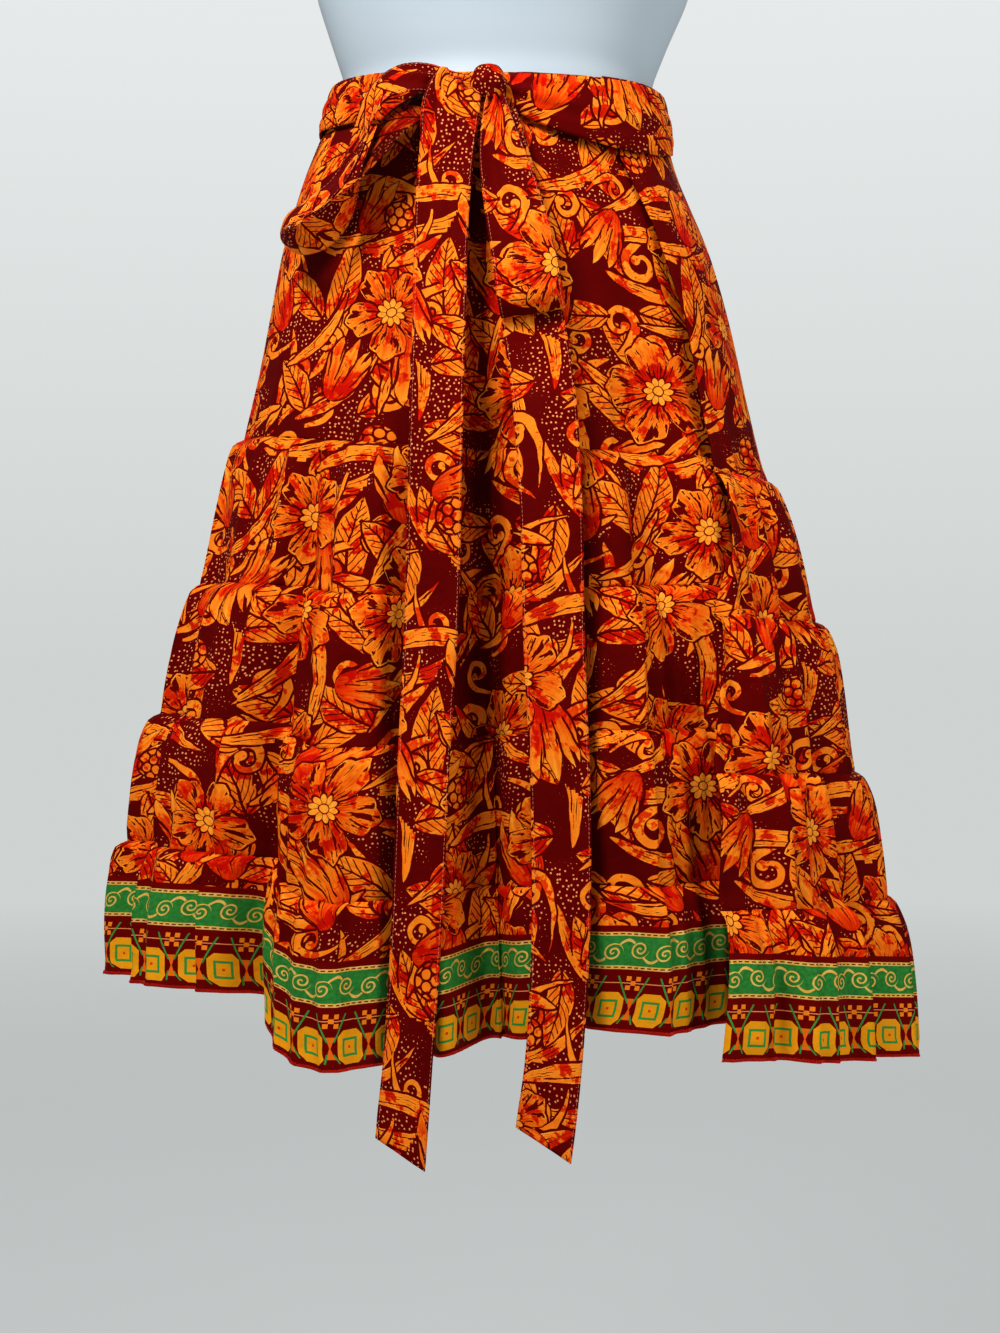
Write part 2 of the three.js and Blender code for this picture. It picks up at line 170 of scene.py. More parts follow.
tuckUnderFlap = {"centre": 394, "half": 14, "rise": -24, "starts": 150, "full": 350}
freeEdge = [dict(down=d, round=r) for d, r in (
    (0, 37), (45, 40), (107, 46), (190, 50), (275, 50),
    (350, 44), (430, 38), (500, 34), (580, 31), (720, 28))]

# how far each tier puffs out, how deep its gathers and soft waves are, and where it was cut from the print
tierNames = ("name", "from", "to", "puff", "gather", "wave", "offset")
tiers = [dict(zip(tierNames, row)) for row in (
    ("tier_1", "band", "seam1", 2, 1.4, 1.2, (40, 25)),
    ("tier_2", "seam1", "seam2", 8.2, 3.5, 2.4, (150, 110)),
    ("tier_3", "seam2", "seam3", 8.2, 3.5, 2.4, (15, 205)),
    ("tier_4", "seam3", "seam4", 8.2, 3.5, 2.6, (240, 60)),
    ("tier_5", "seam4", "hem", 9.2, 3.8, 2.8, (90, 160)),
)]

ovalCurves = {c: smoothRows(ovals, "down", c, rounding["oval"]) for c in ("halfWidth", "halfDepth", "shift")}
levelCurves = {c: smoothRows(levels, "round", c, rounding["level"]) for c in levelNames[1:]}
edgeCurve = smoothRows(freeEdge, "down", "round", rounding["edge"])


def foldRise(turn, down):
    # the large folds, which start below the hips and are full at the hem
    rise = np.zeros_like(turn)
    full = skirtSizes["foldsFullAt"]
    for fold in folds:
        grown = np.clip((down - fold["starts"]) / (full - fold["starts"]), 0, 1)
        centre = fold["top"] + (fold["hem"] - fold["top"]) * down / full
        away = (turn - centre + 180) % 360 - 180
        rise += fold["rise"] * np.sqrt(grown) * bump(away / fold["half"])
    tucked = smoothStep(down, tuckUnderFlap["starts"], tuckUnderFlap["full"])
    under = tuckUnderFlap["rise"] * tucked * bump((turn - tuckUnderFlap["centre"]) / tuckUnderFlap["half"])
    return rise + np.where(turn > 360, under, 0)


lapNames = ("top", "hem", "run", "step", "faces")
laps = [dict(zip(lapNames, row)) for row in (
    (-46, -46, 7, 9, -1), (-29, -21, 8, 10, 1), (-38, -39, 5, 7, -1), (-22, -15, 5, 6, 1),
    (18, 15, 6, 8, -1), (27, 23, 5, 7, 1), (45, 42, 7, 7, -1), (58, 57, 9, 9, 1), (-61, -61, 7, 8, -1))]
lapSides = {"from": 72.0, "to": 290.0, "every": (9.0, 17.0), "run": (5.0, 10.0), "step": (5.0, 10.0),
            "lean": (-3, 3), "seed": 4}
lapShape = {"starts": 150, "half": 420, "full": 680, "halfShare": 0.6, "leansFrom": 250, "leansTo": 650,
            "climb": 1.5, "drop": 0.9, "hollow": 2.4, "hollowDeep": 0.35}
random = np.random.RandomState(lapSides["seed"])
place = lapSides["from"]
while place < lapSides["to"]:
    laps.append({
        "top": place,
        "hem": place + random.uniform(*lapSides["lean"]),
        "run": random.uniform(*lapSides["run"]),
        "step": random.uniform(*lapSides["step"]),
        "faces": random.choice((-1, 1)),
    })
    place += random.uniform(*lapSides["every"])


def lapRise(turn, down):
    # folds that lap over: the cloth climbs slowly and drops sharply on the side that the fold faces
    s = lapShape
    rise = np.zeros_like(turn)
    later = smoothStep(down, s["half"], s["full"])
    grown = smoothStep(down, s["starts"], s["half"]) * (s["halfShare"] + (1 - s["halfShare"]) * later)
    for lap in laps:
        edge = lap["top"] + (lap["hem"] - lap["top"]) * smoothStep(down, s["leansFrom"], s["leansTo"])
        away = ((turn - edge + 180) % 360 - 180) * lap["faces"]
        climb = np.clip(1 + away / lap["run"], 0, 1) ** s["climb"]
        drop = 1 - smoothStep(away, 0, s["drop"])
        hollow = bump((away - s["hollow"]) / s["hollow"])
        rise += lap["step"] * (climb * drop - s["hollowDeep"] * hollow)
    return rise * grown


# creases that fan out from the knot, and the smaller folds that open out towards the hem
knotPull = {"down": 30.0, "turn": -4.0, "mmPerDegree": 2.1, "reach": 75.0, "clear": 30.0, "deep": 3.2,
            "spacing": 11.0, "seed": 31}
hanging = {"starts": 120.0, "full": 620.0, "spacing": 4.2, "deep": 6.2, "lean": 1.2, "leanOver": 160.0,
           "broadness": 2.4, "crispness": 2.2, "crispShare": 0.6, "seeds": (3, 21, 22)}


def hangingFolds(turn, down):
    # the many smaller folds, the same on both layers of the wrap
    pull, hang = knotPull, hanging
    onceRound = turn % 360
    aside = ((turn - pull["turn"] + 180) % 360 - 180) * pull["mmPerDegree"]
    under = down - pull["down"]
    away = np.hypot(aside, under)
    near = np.exp(-away / pull["reach"]) * smoothStep(away, 0, pull["clear"])
    fanned = ripple(np.degrees(np.arctan2(under, aside)) + 360, pull["spacing"], pull["seed"])
    opened = smoothStep(down, hang["starts"], hang["full"])
    leanSeed, crispSeed, broadSeed = hang["seeds"]
    place = onceRound + hang["lean"] * ripple(down, hang["leanOver"], leanSeed)
    crisp = 1 - hang["crispness"] * np.abs(ripple(place, hang["spacing"], crispSeed))
    broad = ripple(place, hang["spacing"] * hang["broadness"], broadSeed)
    small = hang["deep"] * opened * (crisp * hang["crispShare"] + broad)
    return pull["deep"] * near * fanned + lapRise(onceRound, down) + small


def ovalPoint(turn, down, out):
    # a place so many mm outside the body's oval
    angle = np.radians(turn)
    halfWidth = np.interp(down, *ovalCurves["halfWidth"]) + out
    halfDepth = np.interp(down, *ovalCurves["halfDepth"]) + out
    shift = np.interp(down, *ovalCurves["shift"])
    return np.stack((shift + halfWidth * np.sin(angle), -halfDepth * np.cos(angle), waistZ - down), -1)


def clothPoint(turn, down, extra):
    # a place on the wrap, whose outer layer stands off the inner one
    s = skirtSizes
    standOff = s["bandStandOff"] + (s["flapStandOff"] - s["bandStandOff"]) * smoothStep(
        down, s["tightDownTo"], s["looseFrom"])
    lifted = 1 - smoothStep(turn - (s["underlapEnd"] - 360), 0, s["flapComesDown"])
    return ovalPoint(turn, down, foldRise(turn, down) + standOff * lifted + extra)


def plainTurns(share):
    # how far round a share of the strip would stand if the flap's free edge ran straight down
    first = skirtSizes["edgeSettles"] / 2
    return first + (skirtSizes["underlapEnd"] - first) * share


def laidTurns(plain, down):
    # where it stands in degrees round, once the strip has been laid from the slanting free edge
    settles = skirtSizes["edgeSettles"]
    edge = np.interp(down, *edgeCurve)
    fanned = edge + (plain - settles / 2) * (settles - edge) / (settles / 2)
    return np.where(plain < settles, fanned, plain)


# the print
printRepeat = {"wide": 330.0, "tall": 300.0, "cell": 2.0, "seed": 11,
               "throws": 6000, "crowdAfter": 2500, "crowd": 0.8, "axisPoints": 7}
# how many of each motif lie on the repeat, how long they are in mm, and the room each keeps from its own kind
motifKinds = {
    "flower": {"count": 7, "long": (30, 40), "reach": 0.0, "room": 42},
    "leafOver": {"count": 15, "long": (46, 62), "reach": 1.0, "room": 10.5},
    "leafUnder": {"count": 19, "long": (50, 66), "reach": 1.0, "room": 10.5},
    "blade": {"count": 26, "long": (80, 120), "reach": 1.0, "room": 8},
    "bladeOver": {"count": 18, "long": (70, 110), "reach": 1.0, "room": 9},
    "bud": {"count": 10, "long": (46, 62), "reach": 1.0, "room": 15},
    "curl": {"count": 34, "long": (0.75, 1.15), "reach": 0.0, "room": 14},
    "berries": {"count": 6, "long": (0.85, 1.1), "reach": 0.0, "room": 14},
}
# the print's inks; the palest gold is a painted glint for the gilt
printColours = {
    "ground": "6e0204", "groundDark": "520103", "red": "c01204", "redOrange": "dc3c08",
    "orange": "ea7016", "yellowOrange": "f48a24", "yellow": "fba63a", "palePink": "e8945c",
    "green": "3f9646", "greenDark": "25682c", "octagon": "eea01c", "giltPaintedGlint": "ffe08a", "overlock": "c4200e",
}
inkRamp = ((0.0, "red"), (0.25, "redOrange"), (0.48, "orange"), (0.72, "yellowOrange"), (0.93, "yellow"),
           (1.0, "palePink"))  # the ink's tone, from its dark to its pale


def nearestRepeat(gap):
    # the same gap measured to the nearest repeat of the cloth
    size = np.array((printRepeat["wide"], printRepeat["tall"]))
    return gap - size * np.round(gap / size)


def scatterMotifs():
    # throws each kind of motif on the repeat and keeps those of one kind clear of each other
    random = np.random.RandomState(printRepeat["seed"])
    chart = {}
    for name, kind in motifKinds.items():
        placed = []
        axes = []
        for attempt in range(printRepeat["throws"]):
            if len(placed) == kind["count"]:
                break
            centre = random.uniform((0, 0), (printRepeat["wide"], printRepeat["tall"]))
            turn = random.uniform(0, 2 * math.pi)
            size = random.uniform(*kind["long"])
            hand = random.choice((-1.0, 1.0))
            steps = np.linspace(0, kind["reach"] * size, printRepeat["axisPoints"])
            axis = centre + steps[:, None] * np.array((math.cos(turn), math.sin(turn)))
            room = 2 * kind["room"] * (1.0 if attempt < printRepeat["crowdAfter"] else printRepeat["crowd"])
            clear = [np.linalg.norm(nearestRepeat(axis[:, None] - other[None]), axis=-1).min() > room
                     for other in axes]
            if all(clear):
                placed.append((*centre, turn, size, hand))
                axes.append(axis)
        chart[name] = (np.array(placed), np.array(axes))
    return chart


def nearestMotifs(chart):
    # which placed motif of each kind is nearest to each cell of the repeat
    cell = printRepeat["cell"]
    u, v = np.meshgrid(np.arange(cell / 2, printRepeat["wide"], cell),
                       np.arange(cell / 2, printRepeat["tall"], cell))
    cells = np.stack((u, v), -1)
    maps = {}
    for name, (placed, axes) in chart.items():
        gaps = [np.min([np.linalg.norm(nearestRepeat(cells - point), axis=-1) for point in axis], axis=0)
                for axis in axes]
        maps[name] = np.argmin(gaps, axis=0)
    return maps


motifChart = scatterMotifs()
motifMaps = nearestMotifs(motifChart)
print("print charted:", {name: len(rows[0]) for name, rows in motifChart.items()})


def writePrint(mesh, clothMm):
    # gives each face corner its place in the frame of the nearest motif of each kind
    size = np.array((printRepeat["wide"], printRepeat["tall"]))
    loops = np.zeros(len(mesh.loops), int)
    mesh.loops.foreach_get("vertex_index", loops)
    corner = clothMm[loops].reshape(-1, 4, 2)
    middle = corner.mean(1)
    cellOf = np.floor((middle % size) / printRepeat["cell"]).astype(int)
    for name, (placed, axes) in motifChart.items():
        grid = motifMaps[name]
        which = grid[np.minimum(cellOf[:, 1], grid.shape[0] - 1), np.minimum(cellOf[:, 0], grid.shape[1] - 1)]
        shift = size * np.round((middle - axes.mean(1)[which]) / size)
        base = placed[which]
        away = corner - (base[:, :2] + shift)[:, None]
        turn, scale, hand = base[:, 2, None], base[:, 3, None], base[:, 4, None]
        x = (away[..., 0] * np.cos(turn) + away[..., 1] * np.sin(turn)) / scale
        y = (-away[..., 0] * np.sin(turn) + away[..., 1] * np.cos(turn)) / scale * hand
        data = np.stack((x, y, np.broadcast_to(scale, x.shape)), -1).astype(np.float32)
        mesh.attributes.new(name, "FLOAT_VECTOR", "CORNER").data.foreach_set("vector", data.ravel())


# how the ink is laid: mm on the cloth, features per mm of cloth for a scale, or shares of a motif's length
inkLook = {
    "waver": 2.0, "waverScale": 0.09, "mottleScale": 0.017, "washScale": 0.06, "fleckScale": 0.3,
    "roughness": 0.55, "outline": 1.7, "fleckShare": 0.35, "redFrom": 0.69, "redTo": 0.77, "redDeep": 0.62,
}
dotShape = {"scale": 0.27, "scatter": 0.75, "patchFrom": 0.46, "patchTo": 0.56, "size": 0.19}
leafShapes = {
    "blade": {"fat": 0.145, "bend": 0.62, "veinStep": 0, "tone": 0.7},
    "leafUnder": {"fat": 0.55, "bend": 0.25, "veinStep": 6.5, "tone": 0.62},
    "leafOver": {"fat": 0.56, "bend": -0.2, "veinStep": 7.0, "tone": 0.66},
    "bladeOver": {"fat": 0.155, "bend": 0.5, "veinStep": 0, "tone": 0.74},
}
leafDrawing = {"stalkEnd": 0.62, "tipEnd": 0.85, "ribThin": 0.35, "ribGrows": 0.8, "veinSlant": 1.35,
               "veinWide": 0.2, "veinEdge": 1.2, "strokeInk": 0.585, "strokeEdge": 0.9,
               "brush": (0.05, 0.6), "brushTone": 0.9}
curlShape = {"turnsIn": 4.2, "turnsOut": 7.5, "thin": 1.3, "thickens": 1.9, "ballAt": 4.4, "ball": 3.3,
             "stalkAt": 11.7, "stalkBend": 0.011, "stalkFat": 3.2, "stalkThins": -0.075, "stalkFrom": -0.3,
             "tone": 0.35, "washTone": 0.8}
budShape = {"root": 0.3, "rays": 9.0, "rayDeep": -0.34, "stalkEnd": 0.55, "tipEnd": 0.35, "fat": 0.6,
            "rayLine": 0.84, "lineFrom": 0.3, "hairLine": 0.62, "redShare": 0.6,
            "brush": (11.0, 1.5), "tone": -0.32, "brushTone": 0.9, "tipTone": 0.8}
berryShape = {"apart": 8.4, "rowsApart": 7.2, "fruit": 3.4, "patch": 11.5, "tone": 0.35, "washTone": 0.6}
flowerShape = {"petals": 5, "petalEnd": 0.6, "petalDeep": 0.52, "inner": 0.5, "ragged": 4.8,
               "raggedDeep": -0.1, "split": 1.7, "hairLine": 0.56, "lineEdge": 1.2, "redShare": 0.7,
               "scallops": 10, "heart": 6.4, "scallopDeep": 3.4, "spoke": 0.9, "eye": 3.4, "eyeLine": 0.4,
               "brush": (7.5, 2.2), "tone": -0.42, "brushTone": 1.3, "rimTone": 0.55,
               "heartTone": 0.55, "heartFleck": 0.6}


def floralInk(tree, cloth):
    # where there is ink, and its tone from 0, red, to 1, pale, one motif laid over another
    node = partial(put, tree)
    look = inkLook
    rough = look["roughness"]

    # a hand-drawn waver of a millimetre or two in every outline
    waver = node("ShaderNodeTexNoise", cloth, look["waverScale"], 1.0, rough, noise_dimensions="2D")[1]
    waver = node("ShaderNodeVectorMath", waver, (0.5, 0.5, 0.5), operation="SUBTRACT")
    waver = node("ShaderNodeVectorMath", waver, (look["waver"], look["waver"], 0.0), operation="MULTIPLY")
    waver = node("ShaderNodeSeparateXYZ", waver)

    def frameOf(name):
        # where the cloth stands in the frame of the nearest motif of a kind, and how long that motif is
        place = node("ShaderNodeAttribute", attribute_name=name, attribute_type="GEOMETRY")[1]
        x, y, size = node("ShaderNodeSeparateXYZ", place)
        x = node("ADD", x, node("DIVIDE", waver[0], size))
        y = node("ADD", y, node("DIVIDE", waver[1], size))
        return x, y, size

    def lay(under, edge, newTone, lines):
        # a motif covers what lies under it, with a dark outline round it
        inkWas, toneWas = under
        outline = node("LESS_THAN", edge, -look["outline"])
        cover = node("GREATER_THAN", edge, 0.0)
        fill = node("SUBTRACT", cover, lines, use_clamp=True)
        inkNow = node("MAXIMUM", node("MULTIPLY", inkWas, outline), fill)
        toneNow = node("ShaderNodeMix", cover, toneWas, newTone, data_type="FLOAT")
        return inkNow, toneNow

    def brush(along, across, marks):
        # brush marks that run along a motif, with so many along it and across it
        place = node("ShaderNodeCombineXYZ", node("MULTIPLY", along, marks[0]),
                     node("MULTIPLY", across, marks[1]), 0.0)
        return node("ShaderNodeTexNoise", place, 1.0, 3.0, rough, noise_dimensions="2D")[0]

    mottle = node("ShaderNodeTexNoise", cloth, look["mottleScale"], 2.0, rough, noise_dimensions="2D")[0]
    wash = node("ShaderNodeTexNoise", cloth, look["washScale"], 4.0, rough, noise_dimensions="2D")[0]
    fleck = node("ShaderNodeTexNoise", cloth, look["fleckScale"], 2.0, rough, noise_dimensions="2D")[0]
    redPatch = node("MULTIPLY_ADD", fleck, look["fleckShare"], wash)
    redPatch = node("ShaderNodeMapRange", redPatch, look["redFrom"], look["redTo"], 0.0, look["redDeep"])

    def leaf(name):
        # a leaf or a long blade, with slanting veins or brushed lines in it
        shape, draw = leafShapes[name], leafDrawing
        along, side, size = frameOf(name)
        arch = node("MULTIPLY", along, node("SUBTRACT", 1.0, along))
        side = node("MULTIPLY_ADD", arch, shape["bend"], side)
        left = node("SUBTRACT", 1.0, along, use_clamp=True)
        start = node("POWER", node("MAXIMUM", along, 0.0), draw["stalkEnd"])
        half = node("MULTIPLY", start, node("POWER", left, draw["tipEnd"]))
        half = node("MULTIPLY", half, shape["fat"])
        off = node("ABSOLUTE", side)
        ends = node("SUBTRACT", 0.5, node("ABSOLUTE", node("SUBTRACT", along, 0.5)))
        edge = node("MULTIPLY", node("MINIMUM", node("SUBTRACT", half, off), ends), size)
        offMm = node("MULTIPLY", off, size)
        alongMm = node("MULTIPLY", along, size)
        stroke = brush(alongMm, node("MULTIPLY", side, size), draw["brush"])
        if shape["veinStep"]:
            rib = node("LESS_THAN", offMm, node("MULTIPLY_ADD", left, draw["ribGrows"], draw["ribThin"]))
            slant = node("SUBTRACT", alongMm, node("MULTIPLY", offMm, draw["veinSlant"]))
            comb = node("FRACT", node("MULTIPLY", slant, 1 / shape["veinStep"]))
            comb = node("LESS_THAN", comb, draw["veinWide"])
            vein = node("MULTIPLY", comb, node("GREATER_THAN", edge, draw["veinEdge"]))
            lines = node("MAXIMUM", rib, vein)
        else:
            lines = node("MULTIPLY", node("GREATER_THAN", stroke, draw["strokeInk"]),
                         node("GREATER_THAN", edge, draw["strokeEdge"]))
        tone = node("MULTIPLY_ADD", stroke, draw["brushTone"], shape["tone"] - draw["brushTone"] / 2)
        return edge, node("SUBTRACT", tone, redPatch), lines

    # pale dots on the ground in drifting patches
    d = dotShape
    cells = node("ShaderNodeTexVoronoi", cloth, d["scale"], 0.0, 0.5, 2.0, d["scatter"],
                 voronoi_dimensions="2D")[0]
    dotSize = node("ShaderNodeMapRange", mottle, d["patchFrom"], d["patchTo"], 0.0, d["size"])
    dots = node("LESS_THAN", cells, dotSize)
    layers = (dots, dots)
    layers = lay(layers, *leaf("blade"))
    layers = lay(layers, *leaf("leafUnder"))

    # curls: a stroke winding in to a round end, with a stalk running off it
    c = curlShape
    x, y, size = frameOf("curl")
    r = node("SQRT", node("ADD", node("MULTIPLY", x, x), node("MULTIPLY", y, y)))
    wound = node("FRACT", node("MULTIPLY", node("ARCTAN2", y, x), 1 / (2 * math.pi)))
    off = node("ABSOLUTE", node("SUBTRACT", r, node("MULTIPLY_ADD", wound, c["turnsOut"], c["turnsIn"])))
    stroke = node("SUBTRACT", node("MULTIPLY_ADD", wound, c["thickens"], c["thin"]), off)
    ballX = node("SUBTRACT", x, c["ballAt"])
    ballR = node("SQRT", node("ADD", node("MULTIPLY", ballX, ballX), node("MULTIPLY", y, y)))
    ball = node("SUBTRACT", c["ball"], ballR)
    bent = node("MULTIPLY_ADD", node("MULTIPLY", y, y), c["stalkBend"], x)
    taper = node("MULTIPLY_ADD", y, c["stalkThins"], c["stalkFat"])
    stalk = node("SUBTRACT", taper, node("ABSOLUTE", node("SUBTRACT", bent, c["stalkAt"])))
    stalk = node("MINIMUM", stalk, node("SUBTRACT", y, c["stalkFrom"]))
    curl = node("MAXIMUM", node("MAXIMUM", stroke, ball), stalk)
    curlTone = node("SUBTRACT", node("MULTIPLY_ADD", wash, c["washTone"], c["tone"]), redPatch)
    layers = lay(layers, curl, curlTone, 0.0)

    layers = lay(layers, *leaf("leafOver"))
    layers = lay(layers, *leaf("bladeOver"))

    # shaggy buds: flame-like petals with dark lines that run together at the base
    b = budShape
    along, side, size = frameOf("bud")
    fan = node("DIVIDE", side, node("ADD", along, b["root"]))
    rays = node("PINGPONG", node("MULTIPLY", fan, b["rays"]), 1.0)
    tip = node("MULTIPLY_ADD", rays, b["rayDeep"], 1.0)
    left = node("SUBTRACT", 1.0, along, use_clamp=True)
    start = node("POWER", node("MAXIMUM", along, 0.0), b["stalkEnd"])
    half = node("MULTIPLY", node("MULTIPLY", start, node("POWER", left, b["tipEnd"])), b["fat"])
    inside = node("SUBTRACT", half, node("ABSOLUTE", side))
    edge = node("MINIMUM", node("MINIMUM", inside, node("SUBTRACT", tip, along)), along)
    edge = node("MULTIPLY", edge, size)
    hair = brush(fan, along, b["brush"])
    streak = node("MULTIPLY", node("GREATER_THAN", rays, b["rayLine"]),
                  node("GREATER_THAN", along, b["lineFrom"]))
    streak = node("MAXIMUM", streak, node("GREATER_THAN", hair, b["hairLine"]))
    budTone = node("MULTIPLY_ADD", hair, b["brushTone"], b["tone"])
    budTone = node("MULTIPLY_ADD", along, b["tipTone"], budTone)
    budTone = node("SUBTRACT", budTone, node("MULTIPLY", redPatch, b["redShare"]))
    layers = lay(layers, edge, budTone, streak)

    # berries: round fruits packed in a patch
    f = berryShape
    x, y, size = frameOf("berries")
    across = node("MULTIPLY", y, 1 / f["rowsApart"])
    shifted = node("MULTIPLY_ADD", node("FLOOR", across), f["apart"] / 2, x)
    inX = node("FRACT", node("MULTIPLY", shifted, 1 / f["apart"]))
    inX = node("MULTIPLY_ADD", inX, f["apart"], -f["apart"] / 2)
    inY = node("MULTIPLY_ADD", node("FRACT", across), f["rowsApart"], -f["rowsApart"] / 2)
    ballR = node("SQRT", node("ADD", node("MULTIPLY", inX, inX), node("MULTIPLY", inY, inY)))
    r = node("SQRT", node("ADD", node("MULTIPLY", x, x), node("MULTIPLY", y, y)))
    fruit = node("MINIMUM", node("SUBTRACT", f["fruit"], ballR), node("SUBTRACT", f["patch"], r))
    fruitTone = node("SUBTRACT", node("MULTIPLY_ADD", wash, f["washTone"], f["tone"]), redPatch)
    layers = lay(layers, fruit, fruitTone, 0.0)

    # flowers: five ragged petals with brushed lines round a scalloped gold middle
    f = flowerShape
    x, y, size = frameOf("flower")
    r = node("SQRT", node("ADD", node("MULTIPLY", x, x), node("MULTIPLY", y, y)))
    rMm = node("MULTIPLY", r, size)
    angle = node("ARCTAN2", y, x)
    lobes = node("ABSOLUTE", node("COSINE", node("MULTIPLY", angle, f["petals"] / 2)))
    ragged = node("PINGPONG", node("MULTIPLY", angle, f["ragged"]), 1.0)
    rim = node("MULTIPLY_ADD", node("POWER", lobes, f["petalEnd"]), f["petalDeep"],
               node("MULTIPLY_ADD", ragged, f["raggedDeep"], f["inner"]))
    petals = node("MULTIPLY", node("SUBTRACT", rim, r), size)
    split = node("LESS_THAN", node("MULTIPLY", lobes, rMm), f["split"])
    hair = brush(angle, r, f["brush"])
    streak = node("MULTIPLY", node("GREATER_THAN", hair, f["hairLine"]),
                  node("GREATER_THAN", petals, f["lineEdge"]))
    streak = node("MAXIMUM", streak, split)
    petalTone = node("MULTIPLY_ADD", hair, f["brushTone"], f["tone"])
    petalTone = node("MULTIPLY_ADD", r, f["rimTone"], petalTone)
    petalTone = node("SUBTRACT", petalTone, node("MULTIPLY", redPatch, f["redShare"]))
    layers = lay(layers, petals, petalTone, streak)
    scallop = node("ABSOLUTE", node("COSINE", node("MULTIPLY", angle, f["scallops"] / 2)))
    middle = node("SUBTRACT", node("MULTIPLY_ADD", scallop, f["scallopDeep"], f["heart"]), rMm)
    spokes = node("LESS_THAN", node("MULTIPLY", scallop, rMm), f["spoke"])
    eye = node("LESS_THAN", rMm, f["eye"])
    spokes = node("MAXIMUM", node("SUBTRACT", spokes, eye, use_clamp=True),
                  node("COMPARE", rMm, f["eye"], f["eyeLine"]))
    layers = lay(layers, middle, node("MULTIPLY_ADD", fleck, f["heartFleck"], f["heartTone"]), spokes)
    return layers, mottle


# the border in mm: across its repeat, and up from the hem
borderSizes = {
    "repeat": 28.0, "overlock": 2.0, "blocksFrom": 4.5, "blocksTo": 28.0, "checkTo": 41.0, "rule": 2.6,
    "bandFrom": 46.5, "bandTo": 67.0, "scrollRepeat": 17.0, "margin": 7,
    "octagonHalf": (9.6, 11.6), "octagonCut": 17.0, "squareFrom": 4.6, "squareTo": 6.3, "squareTaller": 1.08,
    "dot": 0.9, "waist": 0.35, "flare": 0.3, "glassHalf": 7.5,
    "check": 3.2, "checkHalf": 4.8, "fineRule": 0.35,
    "slope": 0.44, "lineHalf": 0.6, "linesBelow": 6, "linesTo": 23.0, "crossingHalf": 4.0,
    "coil": 3.4, "coilHalf": 0.6, "coilReach": 6.2, "coilUp": 1.2, "trailHigh": 7.4, "trailHalf": 1.0,
    "trailFrom": 5.8, "dashes": 4.4, "dashShare": 0.62, "mottleScale": 0.35,
}


